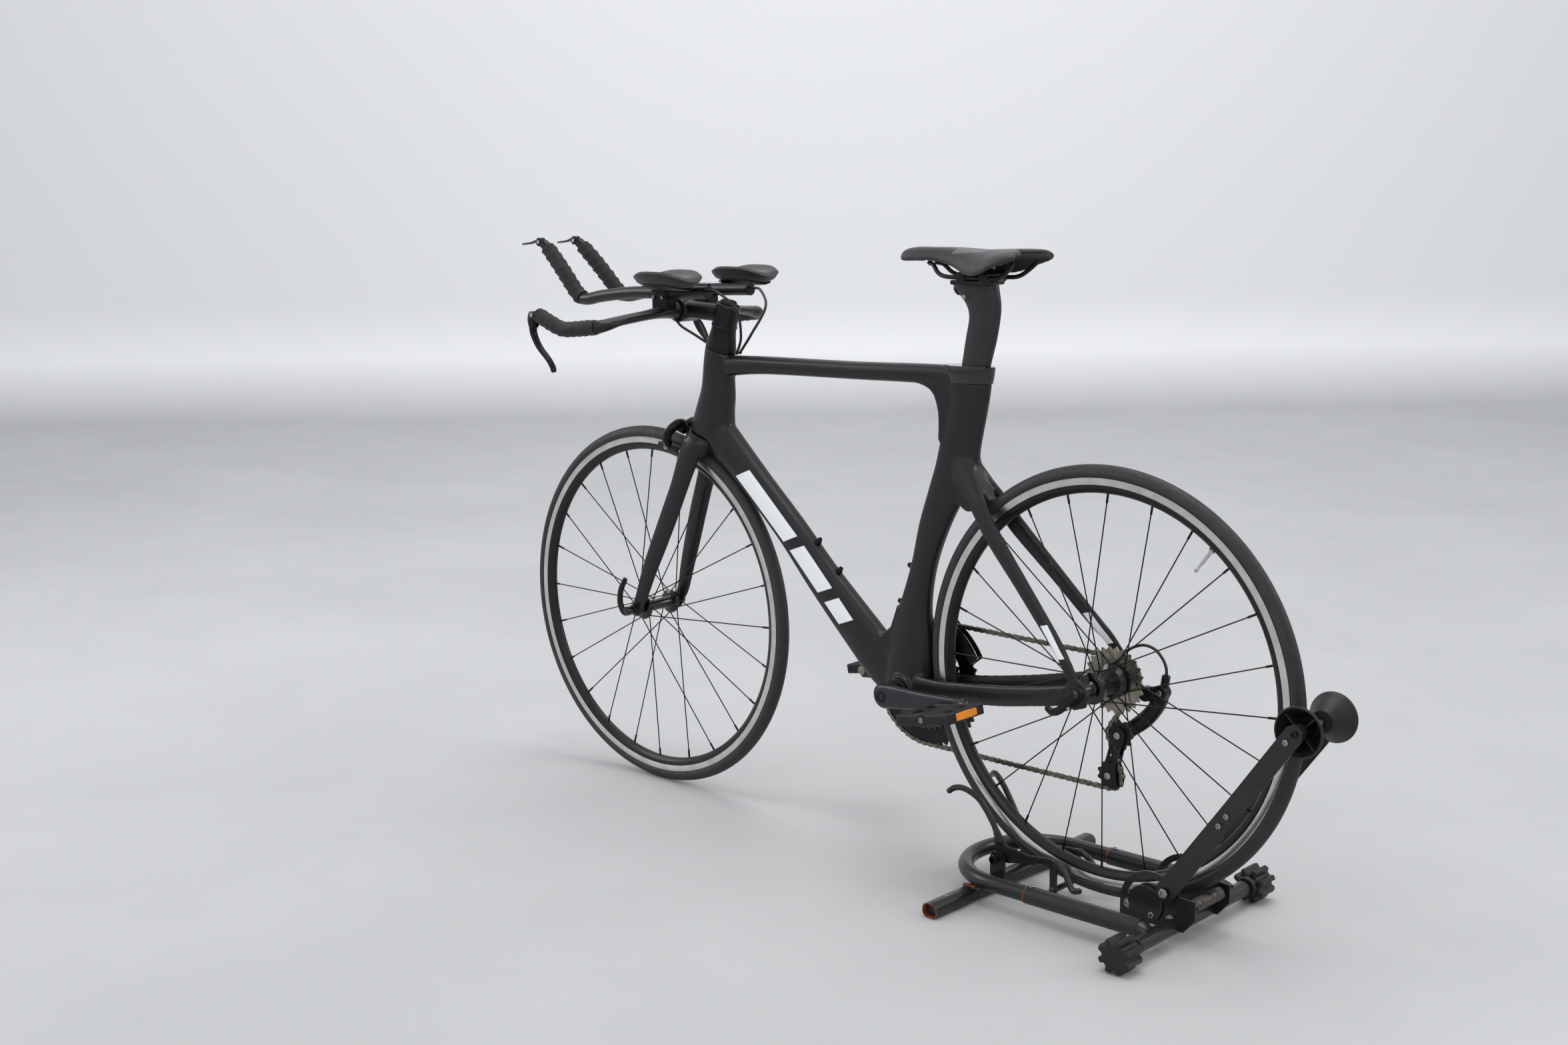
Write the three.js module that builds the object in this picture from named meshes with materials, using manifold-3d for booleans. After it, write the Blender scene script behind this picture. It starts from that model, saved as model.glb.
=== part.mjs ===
// Time-trial bicycle held by its rear wheel in a steel floor stand.
// Millimetres, +Z up. The bicycle points to -X, its chain side is +Y, and the floor is z = 0.
// Every piece is drawn from the rear axle's foot on the floor, and the whole group is then
// shifted along X so that the origin is the middle of the footprint.
import * as THREE from 'three';
import { mergeVertices } from 'three/addons/utils/BufferGeometryUtils.js';
import Module from 'manifold-3d';

const wasm = await Module();
wasm.setup();

// ---- Driving dimensions -------------------------------------------------------------------
const REAR_AXLE = [0, 359.65];
const FRONT_AXLE = [-1001.4, 336];
const BOTTOM_BRACKET = [-385, 285];
const TYRE_RADIUS = 336;
const RIM_RADIUS = 316;
const RIM_INNER_RADIUS = 292.5;
const TRACK_HALF_WIDTH = 10.5;
const SPOKES_PER_SIDE = 12;
const FRONT_DROPOUT = 50;
const REAR_DROPOUT = 65;
const STEER_TILT = THREE.MathUtils.degToRad(16);
const STEER_POINT = [-855.6, 700];
const STEERER_RADIUS = 14;
const CRANK_LENGTH = 172.5;
const CRANK_ANGLE = THREE.MathUtils.degToRad(5.1);
const CHAIN_LINE = 44.5;
const RING_PITCH = 107.5;
const SPROCKET_PITCH = 30.5;
const PULLEY_PITCH = 22;
const GUIDE_PULLEY = [-2, 268];
const TENSION_PULLEY = [-18, 200];
const SEATPOST_AXIS = new THREE.Vector3(0.235, 0, 0.972).normalize();
const BAR_CENTRE = [-906, 890];
const GRIP_SPACING = 200;
const EXTENSION_SPACING = 52;
const STAND_TUBE = 12.7;
const RAIL_SPACING = 112;
const STAND_TUBE_Z = 38.2;
const FRONT_BAR = [-172, 12.05];
const REAR_BAR = [158, 27];
const ARM_PIVOT = [150, 80];
const CONE_AXLE = [352, 362];
const GAP = 0.35;

// ---- Geometry helpers ---------------------------------------------------------------------
const V = (x, y, z) => new THREE.Vector3(x, y, z);
const X = V(1, 0, 0);
const Y = V(0, 1, 0);
const Z = V(0, 0, 1);

// Merges shared corners, drops empty triangles and turns the faces outwards.
function tidy(geometry) {
  const bare = new THREE.BufferGeometry();
  bare.setAttribute('position', geometry.getAttribute('position'));
  if (geometry.index) bare.setIndex(geometry.index);
  const merged = mergeVertices(bare, 1e-3);
  const p = merged.getAttribute('position');
  const old = merged.index.array;
  const index = [];
  const a = V(), b = V(), c = V();
  let volume = 0;
  for (let i = 0; i < old.length; i += 3) {
    const [i0, i1, i2] = [old[i], old[i + 1], old[i + 2]];
    if (i0 === i1 || i1 === i2 || i2 === i0) continue;
    index.push(i0, i1, i2);
    a.fromBufferAttribute(p, i0);
    b.fromBufferAttribute(p, i1);
    c.fromBufferAttribute(p, i2);
    volume += a.dot(b.cross(c));
  }
  if (volume < 0) index.reverse();
  merged.setIndex(index);
  return merged;
}

const solid = (geometry) => {
  const g = tidy(geometry);
  return new wasm.Manifold(new wasm.Mesh({
    numProp: 3,
    vertProperties: new Float32Array(g.getAttribute('position').array),
    triVerts: new Uint32Array(g.index.array),
  }));
};

const toGeometry = (manifold) => {
  const mesh = manifold.getMesh();
  const g = new THREE.BufferGeometry();
  g.setAttribute('position', new THREE.BufferAttribute(mesh.vertProperties, 3));
  g.setIndex(new THREE.BufferAttribute(mesh.triVerts, 1));
  return g;
};

const join = (...pieces) => toGeometry(pieces.map(solid).reduce((a, b) => a.add(b)));
const cut = (base, ...tools) => toGeometry(tools.map(solid).reduce((a, b) => a.subtract(b), solid(base)));

// Closed body through rings of equal length, with flat ends, or joined end to end when looped.
function loft(rings, looped = false) {
  const n = rings[0].length;
  const index = [];
  const spans = looped ? rings.length : rings.length - 1;
  for (let i = 0; i < spans; i++) {
    const a = i * n;
    const b = ((i + 1) % rings.length) * n;
    for (let j = 0; j < n; j++) {
      const k = (j + 1) % n;
      index.push(a + j, b + j, b + k, a + j, b + k, a + k);
    }
  }
  if (!looped) {
    const z = (rings.length - 1) * n;
    for (let j = 1; j < n - 1; j++) index.push(0, j, j + 1, z, z + j + 1, z + j);
  }
  const g = new THREE.BufferGeometry().setFromPoints(rings.flat());
  g.setIndex(index);
  return g;
}

// Superellipse around c, with half sizes a along u and b along w.
function ring(c, u, w, a, b, n = 12, power = 2) {
  return Array.from({ length: n }, (_, i) => {
    const t = ((i + 0.5) / n) * 2 * Math.PI;
    const [ct, st] = [Math.cos(t), Math.sin(t)];
    return c.clone()
      .addScaledVector(u, a * Math.sign(ct) * Math.abs(ct) ** (2 / power))
      .addScaledVector(w, b * Math.sign(st) * Math.abs(st) ** (2 / power));
  });
}

// Tube through points. Its half-width lies along across; sizes is one [half-width, half-depth]
// for the whole tube, or one for each point.
function sweep(points, across, sizes, { n = 10, power = 2, looped = false } = {}) {
  const m = points.length;
  const rings = points.map((p, i) => {
    const before = points[looped ? (i + m - 1) % m : Math.max(i - 1, 0)];
    const after = points[looped ? (i + 1) % m : Math.min(i + 1, m - 1)];
    const t = after.clone().sub(before).normalize();
    const u = across.clone().addScaledVector(t, -across.dot(t)).normalize();
    const [a, b] = Array.isArray(sizes[0]) ? sizes[i] : sizes;
    return ring(p, u, t.clone().cross(u), a, b, n, power);
  });
  return loft(rings, looped);
}

const smooth = (points, count) => new THREE.CatmullRomCurve3(points).getPoints(count);

// Flat plate with an outline of [x, z] points, from y0 to y1.
function plate(outline, y0, y1, holes = []) {
  const flat = (list) => list.map(([x, z]) => new THREE.Vector2(x, z));
  const outer = flat(outline);
  if (THREE.ShapeUtils.isClockWise(outer)) outer.reverse();
  const shape = new THREE.Shape(outer);
  shape.holes = holes.map((h) => new THREE.Path(flat(h)));
  const g = new THREE.ExtrudeGeometry(shape, { depth: y1 - y0, bevelEnabled: false });
  return g.rotateX(Math.PI / 2).translate(0, y1, 0);
}

const circle = ([x, z], r, n = 16, start = 0, turn = 360) => {
  const steps = turn === 360 ? n : n + 1;
  return Array.from({ length: steps }, (_, i) => {
    const t = THREE.MathUtils.degToRad(start + (turn * i) / n);
    return [x + r * Math.cos(t), z + r * Math.sin(t)];
  });
};

// Cylinder along Y between y0 and y1.
const pin = ([x, z], r, y0, y1, n = 12) =>
  new THREE.CylinderGeometry(r, r, Math.abs(y1 - y0), n).translate(x, (y0 + y1) / 2, z);

// Cylinder between two points.
const rod = (from, to, r, n = 10) => {
  const along = to.clone().sub(from);
  const g = new THREE.CylinderGeometry(r, r, along.length(), n);
  g.applyQuaternion(new THREE.Quaternion().setFromUnitVectors(Y, along.clone().normalize()));
  return g.translate(...from.clone().add(to).multiplyScalar(0.5).toArray());
};

const box = (x0, x1, y0, y1, z0, z1) =>
  new THREE.BoxGeometry(x1 - x0, y1 - y0, z1 - z0)
    .translate((x0 + x1) / 2, (y0 + y1) / 2, (z0 + z1) / 2);

// Turned body about Y from [radius, y] points.
const turned = (profile, n = 24) =>
  new THREE.LatheGeometry(profile.map(([r, y]) => new THREE.Vector2(r, y)), n);
const closed = (profile) => [...profile, profile[0]];

// ---- Assembly helpers ---------------------------------------------------------------------
const root = new THREE.Group();

function add(name, geometry, colour, roughness, metalness, parent = root) {
  const material = new THREE.MeshStandardMaterial({ color: colour, roughness, metalness });
  const mesh = new THREE.Mesh(tidy(geometry), material);
  mesh.name = name;
  parent.add(mesh);
  return mesh;
}

function groupAt(x, y, z) {
  const group = new THREE.Group();
  group.position.set(x, y, z);
  root.add(group);
  return group;
}

const CARBON = [0x26272a, 0.32, 0.1];
const SATIN_BLACK = [0x1b1c1e, 0.5, 0.3];
const RUBBER = [0x17181a, 0.85, 0.0];
const TAPE = [0x1c1d1f, 0.78, 0.0];
const FOAM = [0x202124, 0.9, 0.0];
const ALLOY = [0xb4b6b8, 0.35, 0.9];
const STEEL = [0x8f9092, 0.35, 1.0];
const COATED_STEEL = [0x232527, 0.45, 0.4];
const PLASTIC = [0x1e1f21, 0.6, 0.0];

// ---- Wheels -------------------------------------------------------------------------------
const WHEEL_STEPS = 36;
const tyre = () => turned(closed([
  [316.7, -8.5], [323, -12], [331, -9.5], [TYRE_RADIUS, 0], [331, 9.5], [323, 12], [316.7, 8.5],
]), WHEEL_STEPS);

const rim = (valveAngle) => {
  const track = TRACK_HALF_WIDTH;
  const channel = turned(closed([
    [RIM_RADIUS, -track], [RIM_RADIUS - 10, -track], [RIM_INNER_RADIUS, -4],
    [RIM_INNER_RADIUS, 4], [RIM_RADIUS - 10, track], [RIM_RADIUS, track],
    [RIM_RADIUS, track - 1.8], [300, 5], [300, -5], [RIM_RADIUS, 1.8 - track],
  ]), WHEEL_STEPS);
  const valve = new THREE.CylinderGeometry(3, 3, 46, 6).translate(0, 272, 0)
    .rotateX(Math.PI / 2).rotateY(-valveAngle);
  return join(channel, valve);
};

// Hub with crossed spokes: flanges is [[y, radius], [y, radius]] for the left and right side.
function spokedHub(profile, flanges) {
  const spokes = [];
  flanges.forEach(([y, radius], side) => {
    for (let i = 0; i < SPOKES_PER_SIDE; i++) {
      const lead = i % 2 ? 1 : -1;
      const atRim = THREE.MathUtils.degToRad((i + side / 2) * (360 / SPOKES_PER_SIDE));
      const atHub = atRim + THREE.MathUtils.degToRad(52) * lead;
      const from = V(radius * Math.cos(atHub), y + 1.8 * lead, radius * Math.sin(atHub));
      const to = V(290.9 * Math.cos(atRim), Math.sign(y) * 2, 290.9 * Math.sin(atRim));
      spokes.push(rod(from, to, 1.25, 4));
    }
  });
  return join(turned(profile, 14), ...spokes);
}

const frontWheel = groupAt(FRONT_AXLE[0], 0, FRONT_AXLE[1]);
add('front_tyre', tyre(), ...RUBBER, frontWheel);
add('front_rim', rim(THREE.MathUtils.degToRad(14)), 0x2a2b2d, 0.4, 0.6, frontWheel);
add('front_hub', spokedHub([
  [0, -49.6], [8, -49.6], [8, -40], [12, -38.6], [20, -37], [20, -31], [11, -28],
  [11, 28], [20, 31], [20, 37], [12, 38.6], [8, 40], [8, 49.6], [0, 49.6],
], [[-34, 17], [34, 17]]), 0x202124, 0.3, 0.6, frontWheel);

const rearWheel = groupAt(REAR_AXLE[0], 0, REAR_AXLE[1]);
add('rear_tyre', tyre(), ...RUBBER, rearWheel);
add('rear_rim', rim(THREE.MathUtils.degToRad(38)), 0x2a2b2d, 0.4, 0.6, rearWheel);
add('rear_hub', spokedHub([
  [0, -64.6], [9, -64.6], [9, -44], [14, -41], [25, -39], [25, -32], [12, -27], [12, 10],
  [27, 13], [27, 19.5], [15.5, 21], [15.5, 57.5], [9, 59], [9, 64.6], [0, 64.6],
], [[-35.5, 22], [16.2, 24]]), 0x202124, 0.3, 0.6, rearWheel);
add('cassette', turned(closed([
  [16.8, 22], [50, 22], [50, 25], [40, 32.5], [32, 40], [25.7, 40.6],
  [25.7, 48.6], [21, 56.5], [16.8, 56.5],
]), 24), ...ALLOY, rearWheel);

// ---- Steering axis ------------------------------------------------------------------------
const STEER_UP = V(Math.sin(STEER_TILT), 0, Math.cos(STEER_TILT));
const STEER_BACK = V(Math.cos(STEER_TILT), 0, -Math.sin(STEER_TILT));
// Point on the steering axis at height s above STEER_POINT, and offset back along the frame.
const onSteer = (s, back = 0, y = 0) => V(STEER_POINT[0], y, STEER_POINT[1])
  .addScaledVector(STEER_UP, s).addScaledVector(STEER_BACK, back);
// Body around the steering axis from [height, offset back, half-length, half-width] sections.
const aroundSteer = (sections, grow = 0, options = {}) => loft(sections.map(
  ([s, back, a, b]) => ring(onSteer(s, back), STEER_BACK, Y, a + grow, b + grow,
    options.n ?? 12, options.power ?? 2)));
const steerBore = (r, low, high, n = 16) => rod(onSteer(low), onSteer(high), r, n);

// ---- Frame --------------------------------------------------------------------------------
const BORE = STEERER_RADIUS + 1;
const CROWN_SWEEP = 46;
const headTube = (grow) => aroundSteer([
  [-30 - grow, 20, 49, 25], [0, 19, 45, 25], [28, 16.5, 39, 24.5], [56, 15, 35, 24],
  [100, 5, 31, 23], [129 + grow, 1, 30, 22],
], grow, { power: 2.3 });

const bracketShell = (grow) => pin(BOTTOM_BRACKET, 27 + grow, -34 - grow, 34 + grow, 20);
const bracketBore = pin(BOTTOM_BRACKET, 13, -80, 80, 18);

const seatTube = (grow) => loft([
  [803, -265, 44, 16], [769, -265, 38, 16], [702, -281.5, 40.5, 15.5], [664, -289, 43, 15.5],
  [630, -304, 38, 15.5], [566, -333, 30, 16], [497, -355, 24, 16.5], [405, -375, 25, 17.5],
  [330, -389, 33, 19],
].map(([z, x, a, b]) => ring(V(x, 0, z), X, Y, a + grow, b + grow, 12, 2.3)));

// Fore-and-aft offset of the seatpost at height z.
const postX = (z) => -250.5 + (SEATPOST_AXIS.x / SEATPOST_AXIS.z) * (z - 829);
const postShaft = (grow, z0, z1) => loft([z0, z1].map(
  (z) => ring(V(postX(z), 0, z), X, Y, 27 + grow, 11 + grow, 12, 2.2)));
const postBore = postShaft(0.6, 745, 840);

const collar = (grow) => loft([
  [802 - grow, -265, 46, 17.5], [815, -265, 48, 18], [827 + grow, -263.5, 47.5, 17.5],
].map(([z, x, a, b]) => ring(V(x, 0, z), X, Y, a + grow, b + grow, 12, 2.3)));

add('frame_head_tube', cut(headTube(0), steerBore(BORE, -60, 160)), ...CARBON);
add('frame_top_tube', cut(
  sweep([V(-800, 0, 796), V(-700, 0, 802), V(-500, 0, 806), V(-360, 0, 810), V(-290, 0, 809)], Y,
    [[17, 18], [16.5, 15.5], [16, 15], [16, 16], [16, 19]], { n: 12, power: 2.5 }),
  headTube(GAP), seatTube(GAP), collar(GAP + 0.4), box(-330, -200, -40, 40, 827, 850)), ...CARBON);
add('frame_seat_tube', cut(join(seatTube(0), collar(0)), postBore, bracketShell(GAP)), ...CARBON);
add('frame_down_tube', join(
  cut(sweep([V(-826, 0, 675), V(-738, 0, 597), V(-652, 0, 519), V(-580, 0, 446), V(-507, 0, 378),
    V(-440, 0, 318), V(-400, 0, 288)], Y,
    [[23, 33], [21, 29.5], [20, 30.5], [20, 34], [20.5, 38], [22, 40], [24, 34]],
    { n: 12, power: 2.4 }), headTube(GAP), seatTube(GAP), bracketBore,
  rod(onSteer(-29.6), onSteer(-100), CROWN_SWEEP, 20)),
  cut(bracketShell(0), bracketBore)), ...CARBON);

for (const [side, s] of [['left', -1], ['right', 1]]) {
  const stay = sweep([V(-352, 21 * s, 294), V(-300, 26 * s, 299), V(-240, 31 * s, 307),
    V(-166, 44 * s, 319), V(-100, 57 * s, 333), V(-50, 65 * s, 344), V(-14, 68.7 * s, 354)], Y,
    [[5.5, 21], [6, 18], [6.5, 17.5], [6.5, 17], [6, 16], [4, 16], [3.1, 15]], { n: 10, power: 2.4 });
  const dropout = plate([[-22, 370], [-34, 352], [-26, 334], [-8, 330], [14, 338], [17, 356],
    [8, 374], [-8, 380]], s < 0 ? -72 : 65.6, s < 0 ? -65.6 : 72);
  const pieces = [stay, dropout];
  if (s < 0) {
    pieces.push(pin(REAR_AXLE, 10, -84, -71));
  } else {
    pieces.push(pin(REAR_AXLE, 9, 71, 82));
    pieces.push(plate([[-4, 345], [14, 345], [30, 340], [30, 326], [16, 322], [2, 332]], 66, 71.5));
  }
  add(`frame_chainstay_${side}`, cut(join(...pieces), bracketShell(GAP), seatTube(GAP),
    sweep([V(-420, 0, 300), V(-398, 0, 290)], Y, [26, 40], { n: 12 })), ...CARBON);
  const seatstay = sweep([V(-262, 15 * s, 655), V(-243, 20 * s, 634), V(-222, 27.5 * s, 610),
    V(-188, 36 * s, 569), V(-126, 47 * s, 505), V(-62, 58 * s, 438), V(-37, 64 * s, 412),
    V(-12, 68.7 * s, 384)], Y,
    [[8, 20], [7, 18], [6.5, 16.5], [6.5, 15.5], [6, 13], [5.5, 11], [4.5, 10], [3.1, 9]],
    { n: 10, power: 2.4 });
  const outline = [[-26, 376], [-8, 380.4], [8, 374.4], [8, 360], [-26, 360]];
  add(`frame_seatstay_${side}`, cut(seatstay, seatTube(GAP),
    plate(outline, Math.min(60 * s, 78 * s), Math.max(60 * s, 78 * s)),
    box(-300, -200, Math.min(0, -30 * s), Math.max(0, -30 * s), 560, 700)), ...CARBON);
}

// ---- Seat ---------------------------------------------------------------------------------
add('seatpost', join(
  postShaft(0, 750, 829),
  loft([[828, -250.7, 27, 11], [869, -241, 29, 11.5], [905, -234, 29, 12], [926, -237, 33, 13],
    [944, -247, 40, 15], [957, -253, 43, 17], [961, -253, 41, 17]]
    .map(([z, x, a, b]) => ring(V(x, 0, z), X, Y, a, b, 12, 2.2))),
  box(-284, -214, -26, 26, 955, 962.4)), ...CARBON);

const railPath = (s) => [V(-338, 9 * s, 985.5), V(-326, 13 * s, 982.5), V(-314, 17 * s, 973),
  V(-300, 20 * s, 968.5), V(-276, 22 * s, 966.6), V(-208, 22 * s, 966.6), V(-184, 24 * s, 968),
  V(-168, 27 * s, 976), V(-158, 30 * s, 985)];
add('saddle_rails', join(
  sweep(railPath(-1), Y, [3.5, 3.5], { n: 6 }), sweep(railPath(1), Y, [3.5, 3.5], { n: 6 }),
  box(-344, -332, -14, 14, 984, 989), box(-164, -152, -36, 36, 982, 986.5),
  box(-262, -215, -29, 29, 963, 972), box(-262, -216, -14, 14, 968, 979)), ...STEEL);

// Saddle sections: x, height of the crown, half-width, height of the underside.
add('saddle', loft([
  [-397, 1001, 7, 995], [-391, 1006, 13, 990.5], [-372, 1011, 18, 989.6], [-335, 1013.5, 20, 989.6],
  [-295, 1013.5, 24, 989.6], [-262, 1012.5, 33, 989], [-232, 1011, 45, 988.5], [-205, 1011, 57, 988.5],
  [-180, 1012.5, 65, 989.6], [-160, 1014, 62, 991], [-146, 1014.5, 48, 994], [-141, 1011, 36, 999],
].map(([x, top, half, low]) => {
  const mid = (top + low) / 2;
  return ring(V(x, 0, mid), Y, Z, half, (top - low) / 2, 14, 2.6);
})), ...FOAM);

// ---- Fork and front brake -----------------------------------------------------------------
const blade = (s) => sweep([V(-868, 25 * s, 655), V(-885, 30 * s, 610), V(-901, 32.5 * s, 570),
  V(-923, 37 * s, 518), V(-945, 43 * s, 465), V(-967, 49 * s, 412), V(-984, 53.2 * s, 365),
  V(-996, 54 * s, 343)], Y,
  [[11, 25], [9.5, 22], [9, 20], [8.5, 20], [8, 19], [7.5, 17], [6, 15.5], [3.6, 14]],
  { n: 10, power: 2.3 });
const tyreSpace = pin(FRONT_AXLE, TYRE_RADIUS + 4, -17, 17, 36);
add('fork', join(
  cut(join(
    aroundSteer([[-30.5, 3, 31, 27], [-40, 3, 33, 34], [-54, 2, 31, 38], [-66, 0, 27, 38]],
      0, { power: 2.4 }),
    blade(-1), blade(1)), tyreSpace),
  steerBore(STEERER_RADIUS, -32, 206),
  pin(FRONT_AXLE, 16, -57, -FRONT_DROPOUT), pin(FRONT_AXLE, 16, FRONT_DROPOUT, 57),
  pin(FRONT_AXLE, 9.5, -68, -56), pin(FRONT_AXLE, 9, 56, 64),
  rod(onSteer(-40, -20), onSteer(-40, -39), 8, 10)), ...CARBON);

for (const [side, s] of [['left', -1], ['right', 1]]) {
  const boss = onSteer(-39, -39.5, 9 * s);
  const arm = sweep([onSteer(-30, -46, 8 * s), onSteer(-30, -47, 22 * s), onSteer(-44, -52, 31 * s),
    onSteer(-60, -58, 31 * s), onSteer(-74, -60, 22 * s)], STEER_BACK,
    [[6, 6.5], [6, 6.5], [5.5, 7], [5.5, 7], [5, 6]], { n: 8, power: 2.6 });
  const pad = new THREE.BoxGeometry(44, 8, 11).rotateY(-0.2).translate(-942, 16.6 * s, 645);
  add(`front_brake_arm_${side}`, cut(join(
    rod(boss, boss.clone().addScaledVector(STEER_BACK, -14), 7.6, 12), arm, pad),
    pin(FRONT_AXLE, RIM_RADIUS + 6, -12.2, 12.2, 36), tyreSpace), 0x2c2d30, 0.35, 0.7);
}

// ---- Stem and bars ------------------------------------------------------------------------
const STEM_BORE = STEERER_RADIUS + 0.5;
add('headset_cover', cut(aroundSteer([[129.4, 1, 30, 22], [146, 1, 27, 21.5], [171.4, 0, 21.5, 20.5]]),
  steerBore(STEM_BORE, 100, 190)), ...SATIN_BLACK);
add('stem', cut(join(
  aroundSteer([[171.8, 0, 22, 20.5], [213, 0, 22, 20.5], [217, 0, 15, 15]]),
  sweep([V(-798, 0, 887), V(-850, 0, 889), V(-903, 0, 890)], Y, [[17, 16], [17, 15.5], [20, 16]],
    { n: 12, power: 3 }),
  pin(BAR_CENTRE, 21.5, -23, 23, 24)),
  steerBore(STEM_BORE, 150, 209), pin(BAR_CENTRE, 16.4, -40, 40, 24)), ...SATIN_BLACK);

// Base bar from its middle to one grip's end: x, y, z, half-height, half-length.
const barSections = [
  [-906, 0, 890, 15.5, 15.5], [-906, 27, 890, 15.5, 15.5], [-907, 50, 889, 12, 19],
  [-908, 84, 886, 8.5, 22], [-911, 125, 882, 8, 22], [-914, 160, 878, 8.5, 19],
  [-913, 184, 874, 11, 15], [-921, 197, 871, 13, 13], [-940, GRIP_SPACING, 869, 13.5, 13.5],
  [-970, GRIP_SPACING, 866, 13.5, 13.5], [-1008, GRIP_SPACING, 864, 13.5, 13.5],
  [-1040, GRIP_SPACING, 873, 13.5, 13.5], [-1067, GRIP_SPACING, 884, 13, 13],
];
const barPoints = [...barSections.slice(1).reverse().map(([x, y, z, a, b]) => [x, -y, z, a, b]),
  ...barSections];
const baseBar = (grow) => sweep(barPoints.map(([x, y, z]) => V(x, y, z)), Z,
  barPoints.map(([, , , a, b]) => [a + grow, b + grow]), { n: 12 });
const LEVER_PIVOT = [-1084, 886];
const tongue = (s) => join(pin(LEVER_PIVOT, 6.5, GRIP_SPACING * s - 3, GRIP_SPACING * s + 3, 12),
  box(-1084, -1062, GRIP_SPACING * s - 3, GRIP_SPACING * s + 3, 881, 891));
add('base_bar', join(baseBar(0), tongue(-1), tongue(1)), ...CARBON);

for (const [side, s] of [['left', -1], ['right', 1]]) {
  const y = GRIP_SPACING * s;
  const cheek = (y0, y1) => plate([[-1092, 890], [-1084, 893.5], [-1077, 889], [-1077, 872],
    [-1080, 864], [-1094, 864]], y0, y1);
  const leverBlade = sweep([V(-1086, y, 876), V(-1088, y, 853), V(-1075, y, 830), V(-1051, y, 809),
    V(-1036, y, 788)], Y, [[8, 5], [7.5, 4.5], [7, 4], [6.5, 3.5], [6, 3]], { n: 8, power: 2.6 });
  add(`brake_lever_${side}`, join(cheek(y - 8, y - 3.4), cheek(y + 3.4, y + 8),
    cut(leverBlade, box(-1110, -1060, y - 12, y + 12, 873, 900))), ...SATIN_BLACK);

  const e = EXTENSION_SPACING * s;
  const bar = sweep([V(-795, e, 927), V(-902, e, 923), V(-988, e, 920), V(-1070, e, 911),
    V(-1112, 51 * s, 904), V(-1137, 50 * s, 909), V(-1168, 48 * s, 938), V(-1200, 45.5 * s, 968),
    V(-1230, 43 * s, 994)], Y,
    [[11, 11], [11, 11], [11, 11], [11, 11], [11.5, 11.5], [13.5, 13.5], [14, 14], [14, 14], [12, 12]],
    { n: 10 });
  const sideBox = (x0, x1, y0, y1, z0, z1) =>
    box(x0, x1, Math.min(y0 * s, y1 * s), Math.max(y0 * s, y1 * s), z0, z1);
  const clamp = cut(sideBox(-926, -886, 38, 66, 880, 936), baseBar(GAP),
    sideBox(-960, -860, 0, 90, 870, 888));
  const cup = join(sideBox(-896, -858, 44, 96, 925, 934.6), sideBox(-905, -798, 64, 126, 930, 934.6));
  add(`extension_${side}`, join(bar, clamp, cup, rod(V(-1228, 43 * s, 992.5),
    V(-1239, 43 * s, 1000), 9, 12)), ...CARBON);
  // Arm pad, a shallow trough along X: x, half-width, lift of the edges.
  add(`arm_pad_${side}`, loft([[-922, 26], [-914, 38], [-885, 43], [-812, 43], [-784, 38], [-777, 26]]
    .map(([x, half]) => {
      const across = [-1, -0.6, -0.2, 0.2, 0.6, 1];
      const top = across.map((t) => V(x, 95 * s + half * t, 952 + 10 * t * t));
      const under = across.map((t) => V(x, 95 * s + half * t, 935 + 12 * Math.max(0, t * t - 0.4)));
      return [...top, ...under.reverse()];
    })), ...FOAM);
  const pivot = [-1250.5, 1005];
  add(`shift_lever_${side}`, join(pin(pivot, 8, 43 * s - 7, 43 * s + 7, 16),
    sweep([V(-1252, 43 * s, 1005), V(-1275, 43 * s, 1003), V(-1299, 43 * s, 1000)], Y,
      [[6, 4], [5.5, 2.5], [7, 2]], { n: 8, power: 3 })), 0x9a9c9f, 0.35, 0.8);
}

// Cables from the bars into the frame behind the head tube, and down the front of it.
const cable = (points, count) => sweep(smooth(points, count), V(0.9, 0.1, 0.2), [2.4, 2.4], { n: 6 });
add('shift_cables', join(
  cable([V(-791, -52, 930), V(-776, -51, 922), V(-764, -40, 885), V(-770, -14, 845),
    V(-776, -0.8, 817.5)], 12),
  cable([V(-791, 52, 930), V(-768, 51, 926), V(-742, 36, 898), V(-756, 12, 850),
    V(-776, 0.8, 817.5)], 12)), ...RUBBER);
add('brake_cables', join(
  cable([V(-900, -46, 873.5), V(-884, -38, 862), V(-862, -14, 846), V(-851, -0.8, 834)], 8),
  cable([V(-900, 46, 873.5), V(-884, 38, 862), V(-862, 14, 846), V(-851, 0.8, 834)], 8)), ...RUBBER);

// ---- Cranks, pedals and chain -------------------------------------------------------------
const PEDAL = [CRANK_LENGTH * Math.cos(CRANK_ANGLE), CRANK_LENGTH * Math.sin(CRANK_ANGLE)];
const [BX, BZ] = BOTTOM_BRACKET;
const windows = Array.from({ length: 5 }, (_, i) => {
  const t = THREE.MathUtils.degToRad(36 + 72 * i);
  return circle([BX + 56 * Math.cos(t), BZ + 56 * Math.sin(t)], 23, 10);
});
const ringBolts = Array.from({ length: 5 }, (_, i) => {
  const t = THREE.MathUtils.degToRad(72 * i);
  return pin([BX + 65 * Math.cos(t), BZ + 65 * Math.sin(t)], 6, 36.4, 49, 8);
});
const crankArm = (s, y0, y1) => sweep([V(BX, y0, BZ), V(BX - s * PEDAL[0] * 0.5, (y0 + y1) / 2,
  BZ - s * PEDAL[1] * 0.5), V(BX - s * PEDAL[0], y1, BZ - s * PEDAL[1])], Y,
  [[7, 18], [7, 14.5], [6.5, 13]], { n: 12, power: 3 });
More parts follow.
